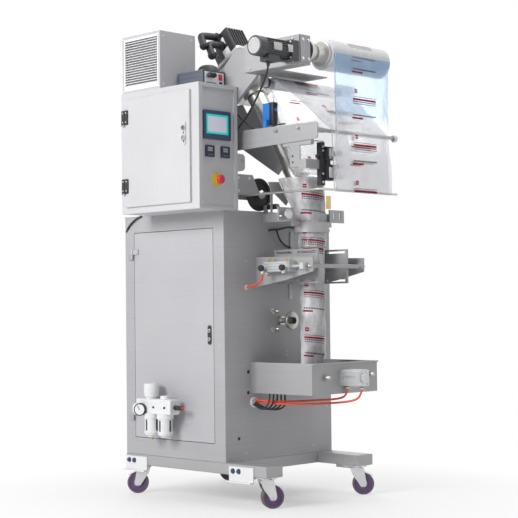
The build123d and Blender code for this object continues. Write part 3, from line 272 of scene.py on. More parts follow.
def screenFinish():
    f = Finish("operatorScreen")
    deep = f.y > screenLook["front"]
    (x, z), (borderWide, borderHigh), (glassWide, glassHigh) = (screenLook[key]
        for key in ("middle", "border", "glass"))
    border = f.x.band(x, borderWide) * f.z.band(z, borderHigh) * deep
    glass = f.x.band(x, glassWide) * f.z.band(z, glassHigh) * deep
    grain = f.noise(900.0)
    rim = f.mix(f.noise(14.0), (0.035, 0.055, 0.14), (0.05, 0.075, 0.17))
    lit = f.mix(border, rim, (0.02, 0.62, 0.5))
    shown = f.mix(glass, lit, (0.56, 0.55, 0.66))
    return f.surface(Base_Color=shown, Roughness=0.34 + grain * 0.12 - glass * 0.16, Emission_Strength=0.35,
                     Emission_Color=f.mix(border, (0, 0, 0), shown), Normal=f.bump(grain, 0.0002, 0.2))


def meterFinish():
    f = Finish("temperatureMeter")
    across = abs(f.x + 0.3035)
    strip = across.band(0.046, 0.0145) * (f.z.band(1.5635, 0.0042) + f.z.band(1.5535, 0.0042))
    keys = across.band(0.046, 0.016) * ((f.x % 0.008) > 0.004) * f.z.band(1.534, 0.0025)
    grain = f.noise(900.0)
    dark = f.mix(f.noise(20.0), (0.02, 0.024, 0.05), (0.035, 0.04, 0.07))
    return f.surface(Base_Color=f.mix(f.clip(strip + keys * 0.7), dark, (0.42, 0.45, 0.5)),
                     Roughness=0.3 + grain * 0.15, Normal=f.bump(grain, 0.0002, 0.2))


def wheelFinish(name, joint):
    # purple hub, grey-brown tread round the axle
    f = Finish("caster" + name)
    axis = Vector(joint["axis"]).normalized()
    centre = Vector(joint["pos_m"])
    away = f.node("ShaderNodeVectorMath", {"operation": "SUBTRACT"}, f.place, tuple(centre))
    flat = f.node("ShaderNodeVectorMath", {"operation": "CROSS_PRODUCT"}, away, tuple(axis))
    reach = f.length(flat)
    grain = f.noise(240.0)
    tread = f.mix(f.noise(40.0), (0.1, 0.08, 0.08), (0.17, 0.14, 0.13))
    hub = f.mix(f.noise(30.0), (0.1, 0.055, 0.14), (0.15, 0.085, 0.21))
    metal = f.mix(f.noise(30.0), (0.4, 0.4, 0.4), (0.55, 0.55, 0.55))
    inner = f.mix(f.clip((reach - 0.0175) * 900), metal, hub)
    return f.surface(Base_Color=f.mix(f.clip((reach - 0.0425) * 900), inner, tread), Roughness=0.42 + grain * 0.2,
                     Normal=f.bump(grain, 0.0003, 0.4))


def rollFinish():
    f = Finish("filmRoll")
    around = f.node("ShaderNodeMath", {"operation": "ARCTAN2"}, f.z - 1.952, -0.51985 - f.y) * 0.068
    ink, dark = filmStripes(f, around, f.x - 0.1265, 0.168, 0.085)
    layers = f.noise(1.0, 3.0, (6, 90, 90))
    haze = f.noise(7.0, 3.0)
    # painted sheen: a stretched noise paints lighter and darker bands across the roll's outer film
    paintedSheen = f.noise(1.0, 3.0, (2.0, 26, 26))
    end = f.clip((f.x - 0.3132) * 2000)
    skin = f.mix(f.clip(paintedSheen * 1.8 - 0.4), (0.66, 0.67, 0.7), (0.92, 0.93, 0.95))
    core = f.mix(layers, (0.3, 0.2, 0.14), (0.42, 0.3, 0.2))
    inked = f.mix(dark, filmPrint["red"], filmPrint["dark"])
    return f.surface(Base_Color=f.mix(end, f.mix(ink, skin, inked), core), Roughness=0.16 + haze * 0.2,
                     Coat_Weight=0.4, Normal=f.bump(layers + haze * 2.0, 0.0012, 0.4))


def louvreFinish():
    # grey box with a white grille on its left
    f = Finish("louvreBox")
    grille = f.clip((-0.4135 - f.x) * 3000) * f.y.band(0.2606, 0.118) * f.z.band(1.977, 0.118)
    skin = f.noise(260.0)
    grey = f.mix(f.noise(3.0, 3.0), (0.5, 0.5, 0.52), (0.58, 0.58, 0.6))
    return f.surface(Base_Color=f.mix(grille, grey, (0.9, 0.9, 0.91)), Roughness=0.4 + skin * 0.1,
                     Normal=f.bump(skin, 0.0004, 0.18))


def gearMotorFinish():
    # dark casting with a pale disc on its end
    f = Finish("gearMotor")
    radial = f.node("ShaderNodeCombineXYZ", {}, 0.0, f.y + 0.51985, f.z - 1.94)
    reach = f.length(radial)
    disc = f.clip((-0.4725 - f.x) * 3000) * f.clip((0.034 - reach) * 900)
    groove = reach.band(0.021, 0.0016) * 0.5
    skin = f.noise(420.0)
    cast = f.mix(f.noise(5.0, 3.0), (0.04, 0.042, 0.048), (0.08, 0.082, 0.09))
    pale = f.mix(f.clip(f.noise(30.0) * 0.6 + groove), (0.62, 0.62, 0.62), (0.4, 0.4, 0.4))
    return f.surface(Base_Color=f.mix(disc, cast, pale), Roughness=0.34 + skin * 0.14,
        Normal=f.bump(skin, 0.0004, 0.2))


def webFinish():
    # bluish clear where one layer hangs free, whiter where layers lie behind each other
    def free(f):
        return f.clip((-0.583 - f.y) * 900) * f.clip((f.z - 1.66) * 22)

    def seen(f):
        return 0.5 + free(f) * 0.06
    return filmSurface("filmWeb", (0.74, 0.76, 0.8), (0.96, 0.965, 0.98), seen, 0.012, 0.085,
                       lambda f: f.z + f.y * 0.25, lambda f: f.x - filmPrint["middle"], (7.0, 0.009),
                       tint=(free, (0.5, 0.68, 0.9)), passing=0.55)


def bagFinish(name, shift, half, see):
    # the print faces front left, as the tube turns it
    def sideways(f):
        return (f.x - bagMiddle[0]) * 0.7071 - (f.y - bagMiddle[1]) * 0.7071

    def facing(f):
        return f.clip((bagMiddle[0] - f.x + bagMiddle[1] - f.y) * 60 + 0.5)
    # the dark low colour is the painted shade in the film's fold hollows
    return filmSurface(name, (0.4, 0.4, 0.42), (0.95, 0.95, 0.97), see, shift, half,
                       lambda f: f.z + f.x * 0.12, sideways, (13.0, 0.009), facing)


frameJoints = {joint["name"]: joint for joint in frame["joints"]}
nodeFinishes = {
    "cabinet": ("cabinet",),
    "door": ("cabinet_door",),
    "frame": ("base_frame",),
    "plate": ("clamp_frame", "slotted_plates", "seal_tray", "unwind_arm", "support_column", "side_arm",
        "handwheel_bracket",
              "coder_bracket", "roller_axle", "collar_braces", "former_support", "rear_jaw", "front_jaw",
        "door_hinges"),
    "bright": ("turning_bar", "auger_tube", "forming_tube", "forming_collar", "roll_shaft", "drive_disc"),
    "boxPaint": ("control_box", "box_door", "sensor_box"),
    "whitePaint": ("runner_brackets",),
    "rollerWhite": ("guide_roller",),
    "whitePlastic": ("air_unit",),
    "bluePlastic": ("photo_eye",),
    "blackCast": ("servo_motor", "door_lock"),
    "black": ("date_coder", "handwheel"),
    "dialGrey": ("dial_box",),
    "yellow": ("stop_ring",),
    "red": ("stop_button",),
    "hose": ("air_hoses",),
    "rubber": ("cables",),
    "zinc": ("caster_plates", "fork_front_left", "fork_rear_left", "fork_front_right", "fork_rear_right"),
    # auger_head wears the bright silver, lighter than the plate steel, to lighten its sloping gusset where the
    # control box shades it: painted light
    "silver": ("clamp_cylinder", "tray_cylinder", "box_lock", "auger_head"),
}


def dress(node, material):
    slots = nodes[node].material_slots
    for slot in slots:
        slot.material = material
    if not slots:
        nodes[node].data.materials.append(material)


for finishName, members in nodeFinishes.items():
    for member in members:
        dress(member, finishes[finishName])
dress("operator_screen", screenFinish())
dress("temperature_controllers", meterFinish())
dress("film_roll", rollFinish())
dress("gear_motor", gearMotorFinish())
dress("louvre_box", louvreFinish())
for corner in ("front_left", "rear_left", "front_right", "rear_right"):
    dress("wheel_" + corner, wheelFinish(corner.title().replace("_", ""), frameJoints["roll_" + corner]))
print("nodes dressed")


# modelling helpers
smoothAngle = math.radians(35)


def letGo():
    bpy.ops.object.select_all(action="DESELECT")


def choose(piece):
    letGo()
    piece.select_set(True)
    bpy.context.view_layer.objects.active = piece


def editAll():
    bpy.ops.object.mode_set(mode="EDIT")
    bpy.ops.mesh.select_all(action="SELECT")


def leaveEdit():
    # back to the object, its place put into its mesh
    bpy.ops.object.mode_set(mode="OBJECT")
    bpy.ops.object.transform_apply(location=True, rotation=True, scale=True)


def joined(parts):
    choose(parts[0])
    for part in parts[1:]:
        part.select_set(True)
    if len(parts) > 1:
        bpy.ops.object.join()
    return parts[0]


def block(name, low, high, width, segments=2):
    # a plate or block between two corners, its edges bevelled to a width in metres
    letGo()
    bpy.ops.mesh.primitive_cube_add(size=1, location=(low + high) / 2, scale=tuple(high - low))
    piece = bpy.context.object
    piece.name = name
    bpy.ops.object.transform_apply(location=True, rotation=True, scale=True)
    choose(piece)
    bevel = piece.modifiers.new("edge", "BEVEL")
    bevel.width = width
    bevel.segments = segments
    bevel.limit_method = "ANGLE"
    bevel.angle_limit = smoothAngle
    bpy.ops.object.modifier_apply(modifier=bevel.name)
    bpy.ops.object.shade_smooth_by_angle(angle=smoothAngle)
    return piece


def turned(name, outline, sides):
    # a shape on the lathe, in millimetres: each step of the outline is the last end face, drawn out and resized
    letGo()
    radius, height = outline[0]
    bpy.ops.mesh.primitive_circle_add(vertices=sides, radius=radius / 1000, fill_type="NGON",
        location=(0, 0, height / 1000))
    piece = bpy.context.object
    piece.name = name
    editAll()
    for nextRadius, nextHeight in outline[1:]:
        bpy.ops.mesh.extrude_region_move(TRANSFORM_OT_translate={"value": (0, 0, (nextHeight - height) / 1000)})
        if nextRadius != radius:
            bpy.ops.transform.resize(value=(nextRadius / radius, nextRadius / radius, 1))
        radius, height = nextRadius, nextHeight
    bpy.ops.mesh.select_all(action="SELECT")
    bpy.ops.mesh.normals_make_consistent(inside=False)
    leaveEdit()
    bpy.ops.object.shade_smooth_by_angle(angle=smoothAngle)
    return piece


def aimed(direction, start, twist=0.0):
    turn = Vector(direction).normalized().to_track_quat("Z", "Y").to_matrix().to_4x4()
    return Matrix.Translation(start) @ turn @ Matrix.Rotation(math.radians(twist), 4, "Z")


def moveInto(piece, matrix):
    piece.data.transform(matrix)
    return piece


def finished(piece, body, look, name=None):
    # look is a finish's name, or a material of the film
    film = isinstance(look, bpy.types.Material)
    piece.data.materials.clear()
    piece.data.materials.append(look if film else finishes[look])
    if name:
        piece.name = name
    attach(piece, body)
    return piece


def copies(pattern, name, body, look, placings):
    # each copy has its own mesh; the pattern itself is thrown away
    made = []
    for start, direction, twist in placings:
        piece = pattern.copy()
        piece.data = pattern.data.copy()
        bpy.context.collection.objects.link(piece)
        made.append(moveInto(piece, aimed(direction, start, twist)))
    bpy.data.objects.remove(pattern)
    return finished(joined(made), body, look, name)


def tube(name, radius, look, points, roundness=3):
    # a smooth cord that follows its points
    curve = bpy.data.curves.new(name, "CURVE")
    curve.dimensions = "3D"
    curve.bevel_depth = radius
    curve.bevel_resolution = roundness
    curve.use_fill_caps = True
    spline = curve.splines.new("NURBS")
    spline.points.add(len(points) - 1)
    for point, place in zip(spline.points, points):
        point.co = (*put(place), 1)
    spline.order_u = 3
    spline.use_endpoint_u = True
    spline.resolution_u = 8
    piece = bpy.data.objects.new(name, curve)
    bpy.context.collection.objects.link(piece)
    return finished(piece, "machine", look)


def drawnOut(name, rings, sides):
    # a turned form whose rings shift and flatten: each ring is (z, x, y, half width, half depth) in millimetres
    letGo()
    z, x, y, wide, deep = rings[0]
    bpy.ops.mesh.primitive_circle_add(vertices=sides, radius=0.001, location=(0, 0, 0))
    piece = bpy.context.object
    piece.name = name
    editAll()
    bpy.ops.transform.resize(value=(wide, deep, 1))
    bpy.ops.transform.translate(value=spot(x, y, z))
    for nextZ, nextX, nextY, nextWide, nextDeep in rings[1:]:
        shift = ((nextX - x) / 1000, (nextY - y) / 1000, (nextZ - z) / 1000)
        bpy.ops.mesh.extrude_region_move(TRANSFORM_OT_translate={"value": shift})
        bpy.ops.transform.resize(value=(nextWide / wide, nextDeep / deep, 1),
            center_override=spot(nextX, nextY, nextZ))
        z, x, y, wide, deep = nextZ, nextX, nextY, nextWide, nextDeep
    leaveEdit()
    return piece


def creased(piece, size, depth, wall, group=None):
    # wrinkles from a cloud texture, then the film's own thickness
    choose(piece)
    clouds = bpy.data.textures.new(piece.name + "Clouds", "CLOUDS")
    clouds.noise_scale = size
    clouds.noise_depth = 3
    wrinkle = piece.modifiers.new("wrinkle", "DISPLACE")
    wrinkle.texture = clouds
    wrinkle.strength = depth
    wrinkle.mid_level = 0.5
    if group:
        wrinkle.vertex_group = group
    thick = piece.modifiers.new("wall", "SOLIDIFY")
    thick.thickness = wall
    thick.offset = 0
    for modifier in (wrinkle, thick):
        bpy.ops.object.modifier_apply(modifier=modifier.name)
    bpy.ops.object.shade_smooth()
    return piece


def hexBolt(size):
    # washer, six-sided head with a turned crown
    washer = turned("washer", [(size * 1.05, 0), (size * 1.05, size * 0.16)], 28)
    head = turned("head", [(size * 0.9, size * 0.16), (size * 0.9, size * 0.66), (size * 0.76, size * 0.8)], 6)
    return joined([washer, head])


def capScrew(size):
    return turned("cap", [(size, 0), (size, size * 0.85), (size * 0.9, size), (size * 0.52, size),
        (size * 0.46, size * 0.45)], 18)


def domeNut(size):
    return turned("dome", [(size * 1.15, 0), (size * 1.15, size * 0.15), (size, size * 0.15), (size, size * 0.9),
                           (size * 0.85, size * 1.2), (size * 0.78, size * 1.5), (size * 0.5, size * 1.85),
        (size * 0.15, size * 2.0)], 24)


def panScrew(size):
    return turned("pan", [(size, 0), (size * 0.96, size * 0.28), (size * 0.75, size * 0.5), (size * 0.3, size * 0.58),
                          (size * 0.26, size * 0.3)], 16)


towardLeft, towardFront, towardTop = (-1, 0, 0), (0, -1, 0), (0, 0, 1)
towardRight, towardRear, towardFloor = (1, 0, 0), (0, 1, 0), (0, 0, -1)


def standing(places, direction, twist=0.0, more=0.0):
    # where copies stand: more turns each one further than the one before
    return [(put(place), direction, twist + more * number) for number, place in enumerate(places)]


def addPlates(plates, body="machine", segments=2):
    # each row: finish, low corner, high corner, bevel
    for name, (look, low, high, bevel) in plates.items():
        finished(block(name, put(low), put(high), bevel, segments), body, look)


def addTurned(shapes, body="machine"):
    # each row: finish, direction, places, sides, outline as (radius, height)
    for name, (look, direction, places, sides, outline) in shapes.items():
        copies(turned(name, outline, sides), name, body, look, standing(places, direction))


def addFasteners(fasteners, body="machine"):
    # each row: finish, kind, size, direction, turn, places
    for name, (look, kind, size, direction, twist, places) in fasteners.items():
        copies(kind(size), name, body, look, standing(places, direction, twist))


# cabinet
cabinetScrews = {
    "size": 4.0,
    "left": [(0, 382, 1260), (0, 105, 1257), (0, 30, 700), (0, 645, 700)],
    "front": [(137, 0, 1074), (125, 0, 220), (565, 0, 220), (397, 0, 664), (397, 0, 646), (660, 0, 1074),
        (660, 0, 400)],
    "right": [(697, y, z) for z in (1240, 250) for y in (80, 340, 600)],
    "rear": [(x, 675.4, z) for z in (1240, 250) for x in (60, 350, 640)],
}
copies(panScrew(cabinetScrews["size"]), "cabinetScrews", "machine", "zinc",
    standing(cabinetScrews["left"], towardLeft, more=20) + standing(cabinetScrews["front"], towardFront, more=25)
    + standing(cabinetScrews["right"], towardRight, more=15) + standing(cabinetScrews["rear"], towardRear, more=15))
holePlug = [(8.05, 0), (8.05, 0.8), (6.3, 1.0), (5.95, 0.3), (3.5, 0.3)]
keyhole = [(8.5, 0), (8.5, 2.6), (7.4, 3.4), (4.2, 3.4), (3.6, 1.0), (1.2, 1.0)]
addTurned({"cabinetPlugs": ("black", towardFront, [(83, 0, 287), (145, 0, 580), (144, 0, 487)], 24, holePlug)})
addTurned({"doorKeyholes": ("bright", towardLeft, [(-4, 93, 766), (-4, 93, 728)], 28, keyhole)}, "cabinet_door")
addPlates({"topSheet": ("frame", (-2, -3, 1296), (699, 677, 1300.5), 0.0012)})
print("cabinet fitted")

# base brackets and caster plates
baseBolts = {
    "bracket": 11.0, "rise": 157, "brackets": (-175, 527), "leftOffsets": (88, 124), "rightOffsets": (26, 62),
    "caster": 7.0, "under": 132, "casters": ((50, -190), (50, 602), (647, -190), (647, 602)),
}
leftBolts = [(spot(-5, front + offset, baseBolts["rise"]), towardLeft, 12 * offset / 50)
    for front in baseBolts["brackets"] for offset in baseBolts["leftOffsets"]]
rightBolts = [(spot(702, front + offset, baseBolts["rise"]), towardRight, 12)
    for front in baseBolts["brackets"] for offset in baseBolts["rightOffsets"]]
copies(hexBolt(baseBolts["bracket"]), "bracketBolts", "machine", "navy", leftBolts + rightBolts)
casterPlaces = [(x + dx, y + dy, baseBolts["under"]) for x, y in baseBolts["casters"] for dx in (-34, 34)
    for dy in (-29, 29)]
addFasteners({"casterBolts": ("zinc", hexBolt, baseBolts["caster"], towardFloor, 10, casterPlaces)})

# control box: hinge leaves as body, right face, front, rear
hinges = {
    "left": -190.5, "rises": (1410.0, 1723.0), "below": 20, "above": 46, "screw": 4.2, "screwRises": (-8, 34),
    "boxHingeLeaves": ("machine", -171.0, 448.6, 468.6),
    "doorHingeLeaves": ("box_door", -183.5, 426.0, 446.0),
}
for name in ("boxHingeLeaves", "doorHingeLeaves"):
    body, right, front, rear = hinges[name]
    corners = [(spot(hinges["left"], front, z - hinges["below"]), spot(right, rear, z + hinges["above"]))
        for z in hinges["rises"]]
    finished(joined([block("leaf", low, high, 0.0022, 3) for low, high in corners]), body, "black", name)
    screws = [(hinges["left"], (front + rear) / 2, z + dz) for z in hinges["rises"] for dz in hinges["screwRises"]]
    addFasteners({name + "Screws": ("zinc", panScrew, hinges["screw"], towardLeft, 30, screws)}, body)
latchTurned = {
    "boxLatchRings": ("bright", towardLeft, [(-188.3, 47, 1652), (-188.3, 47, 1608)], 32,
        [(13.0, 0), (13.0, 3.5), (11.5, 5.2), (8.6, 5.2), (7.8, 2.0), (3.0, 2.0), (3.0, 4.0)]),
    "boxLatchKeys": ("black", towardLeft, [(-188.3, 47, 1630), (-188.3, 47, 1592)], 20,
        [(3.8, 0), (3.8, 0.9), (3.0, 1.2)]),
}
stopCollar = [(24.5, 0), (24.5, 2.0), (22.0, 3.0), (17.0, 3.2)]
stopCap = [(20.0, 0), (20.3, 3.0), (19.0, 7.0), (15.5, 9.8), (9.0, 11.0), (3.0, 11.3)]
panelScrews = [(x, -25, z) for x in (-143, 39) for z in (1322, 1820)]
addTurned(latchTurned, "box_door")
addTurned({"stopCollar": ("yellow", towardFront, [(-60, -31, 1428)], 40, stopCollar)})
addTurned({"stopCap": ("red", towardFront, [(-60, -50.5, 1428)], 40, stopCap)}, "stop_button")
addFasteners({"panelScrews": ("zinc", panScrew, 3.6, towardFront, 30, panelScrews)})

# louvre box and feeder controller
louvreScrews = {
    "size": 4.0, "turn": 20,
    "front": [(x, 218, z) for x in (-150, 20) for z in (1870, 2084)],
    "left": [(-171, y, z) for y in (227, 470) for z in (1858, 2098)],
}
copies(panScrew(louvreScrews["size"]), "louvreScrews", "machine", "whitePlastic",
    standing(louvreScrews["front"], towardFront, louvreScrews["turn"])
    + standing(louvreScrews["left"], towardLeft, louvreScrews["turn"]))
feederPlates = {
    "dialBezel": ("black", (-67, 45.5, 1851), (61, 48.2, 1918), 0.001),
    "dialPlate": ("whitePlastic", (-61, 44.6, 1855), (56, 46, 1914), 0.0006),
    "dialDisplay": ("red", (22, 44.0, 1880), (46, 45.4, 1908), 0.0006),
    "dialSwitch": ("black", (26, 43.4, 1860), (44, 45.4, 1874), 0.0006),
    "dialKeys": ("navy", (-52, 44.0, 1861), (8, 45.2, 1868), 0.0006),
}
feederTurned = {
    "feederDome": ("blackCast", towardTop, [(19, 108, 1922)], 44,
        [(50, 0), (50, 3), (48, 6), (45, 17), (38, 26), (27, 32), (13, 34.6), (3, 35)]),
    "dialKnobs": ("black", towardFront, [(-42, 35, 1897), (-20, 35, 1897)], 26,
        [(12.0, 0), (12.0, 7.0), (10.5, 13.0), (9.5, 15.0), (2.0, 15.2)]),
}
addPlates(feederPlates)
addTurned(feederTurned)
print("control box fitted")

# air treatment unit on the door
gauge = {"place": (-96, 455, 408), "facing": (-1, -0.5, 0), "dial": 0.0195, "needle": 0.0228, "reading": 30}


def onGauge(along):
    return spot(*gauge["place"]) + Vector(gauge["facing"]).normalized() * along


bowlRows = (330.0, 422.0)
airTurned = {
    "knobRibs": ("whitePlastic", towardTop, [(-60, 424, 478)], 20,
        [(33.6, 0), (34.6, 3), (34.6, 40), (33.6, 44), (31, 46)]),
    "gaugeCase": ("black", gauge["facing"], [onGauge(0)], 36,
        [(28, 0), (29, 3), (29, 20), (27.5, 23), (24.5, 23), (24.0, 21)]),
    "gaugeFace": ("whitePlastic", gauge["facing"], [onGauge(gauge["dial"])], 36,
        [(24.2, 0), (24.2, 1.6), (2.4, 1.7), (2.4, 3.4), (1.6, 3.6)]),
    "bowlCollars": ("whitePlastic", towardTop, [(-60, y, z) for z in (366, 300) for y in bowlRows], 32,
        [(34.6, 0), (35.4, 2), (35.4, 10), (34.2, 12)]),
    "drainTap": ("brass", towardFloor, [(-60, 422, 287)], 20,
        [(7, 0), (7, 6), (5, 7), (5, 14), (3.2, 15), (3.2, 20)]),
    "inletSleeve": ("black", towardFront, [(-60, 264, 420)], 28,
        [(9.8, 0), (10.6, 2), (10.6, 22), (9.4, 25), (9.4, 38), (10.4, 40), (10.4, 49), (9.2, 50.0), (4.2, 50.0),
            (4.1, 44)]),
    "inletCollet": ("hose", towardFront, [(-60, 214.4, 420)], 24,
        [(7.6, 0), (7.6, 3.4), (6.6, 4.2), (4.3, 4.2), (4.1, 1.0)]),
}
addTurned(airTurned, "cabinet_door")
gaugeNeedle = block("gaugeNeedle", Vector((-0.0012, -0.002, 0)), Vector((0.0012, 0.018, 0.0012)), 0.0004)
finished(moveInto(gaugeNeedle, aimed(gauge["facing"], onGauge(gauge["needle"]), gauge["reading"])), "cabinet_door",
    "black")
windows = {}
for number, y in enumerate(bowlRows):
    windows["bowlWindow" + str(number)] = ("black", (-94.5, y - 4.5, 312), (-90, y + 4.5, 362), 0.0018)
    windows["bowlSideWindow" + str(number)] = ("black", (-64.5, y - 34.2, 312), (-55.5, y - 31, 362), 0.0012)
addPlates(windows, "cabinet_door", 3)
airScrews = {"airUnitScrews": ("black", capScrew, 4.5, towardLeft, 0, [(-91, y, 420) for y in (300, 376, 452)])}
addFasteners(airScrews, "cabinet_door")
print("air unit fitted")

# auger, head and servo motor
augerLook = {
    "foot": (373, -186, 1310), "tilt": 32,
    "rim": [(x, y) for y in (-97, -33, 33, 97) for x in (-97, -33, 33, 97) if 97 in (abs(x), abs(y))],
    "ring": 52, "labelFace": (314.0, -186, 1310),
    "labels": ((880, 925, 22), (945, 985, 18)),    # low end, high end, half width
    "plugs": ((1000, 168, 70), (950, 142, 74)),    # distance up the axis, reach to the left, drop
    "plugRadius": 0.0175,
}
tilt = math.radians(augerLook["tilt"])
augerAxis = Vector((0, math.sin(tilt), math.cos(tilt)))
augerAcross = Vector((0, math.cos(tilt), -math.sin(tilt)))
downAuger = -augerAxis


def onAuger(along, side, rise):
    # a place on the sloping head: distance up the axis, off it in X, and off it towards the rear
    return spot(*augerLook["foot"]) + (augerAxis * along + Vector((1, 0, 0)) * side + augerAcross * rise) / 1000


ringAngles = [math.radians(30 + 60 * number) for number in range(6)]
ringSpots = [(augerLook["ring"] * math.cos(angle), augerLook["ring"] * math.sin(angle)) for angle in ringAngles]
augerBolts = {
    "headBolts": ("zinc", hexBolt, 7.5, augerAxis, 8, [onAuger(850, x, y) for x, y in augerLook["rim"]]),
    "ringBolts": ("zinc", hexBolt, 6.0, downAuger, 0, [onAuger(640, x, y) for x, y in ringSpots]),
    "servoBolts": ("black", hexBolt, 6.5, augerAxis, 0, [onAuger(850, x, y) for x in (-66, 66) for y in (-66, 66)]),
}
augerTurned = {
    "servoPlugNuts": ("blackCast", augerAcross, [onAuger(984, 0, 59), onAuger(936, 0, 59)], 24,
        [(20, 0), (21, 2), (21, 12), (19.5, 15)]),
    "eyeBase": ("zinc", augerAxis, [onAuger(1010, 0, 10)], 24, [(13, 0), (13, 4), (9, 7), (7, 12)]),
}
addFasteners(augerBolts)
addTurned(augerTurned)
labelBasis = Matrix(((0, 0, -1, 0), (augerAcross.y, augerAxis.y, 0, 0), (augerAcross.z, augerAxis.z, 0, 0),
    (0, 0, 0, 1)))
for number, (low, high, half) in enumerate(augerLook["labels"]):
    corners = (Vector((side * half / 1000, rise / 1000, depth))
        for side, rise, depth in ((-1, low, -0.0005), (1, high, 0.0006)))
    label = block("servoLabel" + str(number), *corners, 0.0003)
    finished(moveInto(label, Matrix.Translation(spot(*augerLook["labelFace"])) @ labelBasis), "machine",
        "whitePlastic")
for number, (along, reach, drop) in enumerate(augerLook["plugs"]):
    tube("servoPlug" + str(number), augerLook["plugRadius"], "blackCast",
        [onAuger(along, -50, 6), onAuger(along, -90, 8), onAuger(along + 4, -reach + 16, 16),
            onAuger(along - 6, -reach, 20), onAuger(along - drop, -reach - 4, 20)], 5)
    copies(turned("plugRing", [(20.5, 0), (21.5, 2), (21.5, 12), (20, 14)], 26), "servoPlugRings" + str(number),
        "machine", "blackCast",
        [(onAuger(along, -64, 7), towardLeft, 0), (onAuger(along - drop + 20, -reach - 3, 20), downAuger, 0)])
print("auger fitted")

# gear motor, unwind arm and roll shaft
armPlates = {
    "motorLabel0": ("whitePlastic", (-150, -475.5, 1928), (-106, -469, 1958), 0.0006),
    "motorLabel1": ("whitePlastic", (-66, -474.8, 1928), (-40, -469, 1958), 0.0006),
    "armFlange": ("plate", (2, -479, 1894), (60, -474, 2002), 0.0016),
}
armBolts = {
    "gearboxScrews": ("zinc", capScrew, 4.5, towardLeft, 0,
        [(-44, -432 + dy, 1940 + dz) for dy in (-33, 33) for dz in (-33, 33)]),
    "armBolts": ("zinc", hexBolt, 6.5, towardFront, 15, [(x, -479, z) for x in (14, 48) for z in (1908, 1988)]),
}
glandNut = [(9, 0), (9, 6), (7.5, 8), (7.5, 14), (6, 16)]
rollTurned = {
    "shaftRings": ("bright", towardRight, [(84.5, -432, 1952)], 40,
        [(46, 0), (48, 2), (48, 7), (40, 9), (31, 9), (31, 40), (39, 42), (39, 52), (36, 54)]),
    "coreRing": ("zinc", towardRight, [(174, -432, 1952)], 48, [(53, 0), (54.5, 2), (54.5, 9), (52, 11), (46, 11)]),
    "endClamp": ("silver", towardRight, [(562.3, -432, 1952)], 36, [(30, 0), (30, 6), (26, 8), (13, 8), (12.3, 10)]),
}
strutBolts = {"size": 6.0, "turn": 15, "left": [(-4, y, z) for y in (-440, -180) for z in (1900, 1996)],
    "right": [(69, y, z) for y in (-220, -120) for z in (1910, 1990)]}
addPlates(armPlates)
addFasteners(armBolts)
addTurned({"glandNut": ("black", towardFloor, [(-136, -422, 1882)], 6, glandNut)})
addTurned(rollTurned, "film_roll")
copies(hexBolt(strutBolts["size"]), "strutBolts", "machine", "zinc",
    standing(strutBolts["left"], towardLeft, strutBolts["turn"])
    + standing(strutBolts["right"], towardRight, strutBolts["turn"]))
print("arm fitted")

# guide roller, side arm, rods, photo eye and date coder
sideTurned = {
    "rollerEnd": ("black", towardRight, [(141.5, -130, 1862)], 36,
        [(22, 0), (23.5, 2), (23.5, 14), (20, 17), (12, 17)]),
    "rodKnob": ("silver", towardRight, [(612, -466, 1618)], 30, [(15, 0), (16, 2), (16, 16), (14.5, 19), (8, 20)]),
    "eyeDot": ("discGrey", towardFront, [(152, -187.2, 1736)], 24, [(6.5, 0), (6.5, 1.4), (5, 2.2), (2.6, 2.2)]),
    "coderDiscs": ("bright", towardFront, [(278, -436, 1390 + dz) for dz in (40, 82, 140)], 30,
        [(14, 0), (15, 1.5), (15, 6), (13, 8), (6, 8), (5, 12)]),
}
sideBolts = {
    "sideArmNuts": ("bright", domeNut, 8.0, towardLeft, 0, [(99, -237, 1634), (99, -369, 1634)]),
    "slotScrews": ("zinc", capScrew, 6.0, towardFloor, 0, [(115, y, 1560) for y in (-352, -294)]),
    "bracketScrews": ("black", panScrew, 4.5, towardLeft, 0, [(105, -327, 1490), (105, -327, 1516)]),
    "coderScrews": ("zinc", capScrew, 5.0, towardFront, 0,
        [(203, -412, z) for z in (1404, 1440, 1540, 1556)] + [(240, -422, z) for z in (1510, 1548)]),
}
coderArms = {"rises": ((1424, 1470), (1516, 1552))}
addTurned(sideTurned)
addFasteners(sideBolts)
addPlates({"eyeCase": ("black", (129.2, -187.6, 1669), (161, -164, 1769), 0.002)})
arms = [block("coderArm", spot(232, -428, low), spot(252, -420.5, high), 0.002, 3)
    for low, high in coderArms["rises"]]
finished(joined(arms), "machine", "silver", "coderArms")

# handwheel, former support, star knob and clamps
hubNut = [(22, 0), (22, 3), (18, 6), (14, 12), (10, 13)]
gripSleeve = [(10.6, 0), (12.2, 3), (12.6, 30), (12.0, 56), (9.6, 62)]
formerBolts = {
    "handBracketBolts": ("zinc", hexBolt, 6.5, towardFront, 0, [(84, -14, 1446), (150, -14, 1446), (84, -14, 1386)]),
    "sensorBoxScrews": ("zinc", panScrew, 4.0, towardFront, 0, [(76, -10, z) for z in (1486, 1546)]),
    "earNuts": ("bright", domeNut, 6.5, towardFront, 0, [(x, -189, 1268) for x in (166, 230)]),
}
formerPlates = {
    "ringClamp": ("black", (432, -224, 1204), (452, -150, 1218), 0.002),
    "ringClampHigh": ("black", (436, -216, 1232), (454, -158, 1246), 0.002),
    "sidePlate": ("brass", (470, -190, 1312), (500, -187, 1372), 0.001),
}
starKnob = {"place": (197, -189, 1278), "turn": 22, "outline": [(7, 0), (7, 14), (20, 16), (24, 20), (24, 27),
    (18, 31), (6, 32)]}
addTurned({"hubNut": ("zinc", towardFront, [(245, 4, 1379)], 6, hubNut)}, "handwheel")
addTurned({"gripSleeve": ("rubber", towardFront, [(271, -13, 1322)], 28, gripSleeve)})
addFasteners(formerBolts)
addPlates(formerPlates)
copies(turned("starKnob", starKnob["outline"], 8), "starKnob", "machine", "silver",
    standing([starKnob["place"]], towardFront, starKnob["turn"]))
print("former fitted")

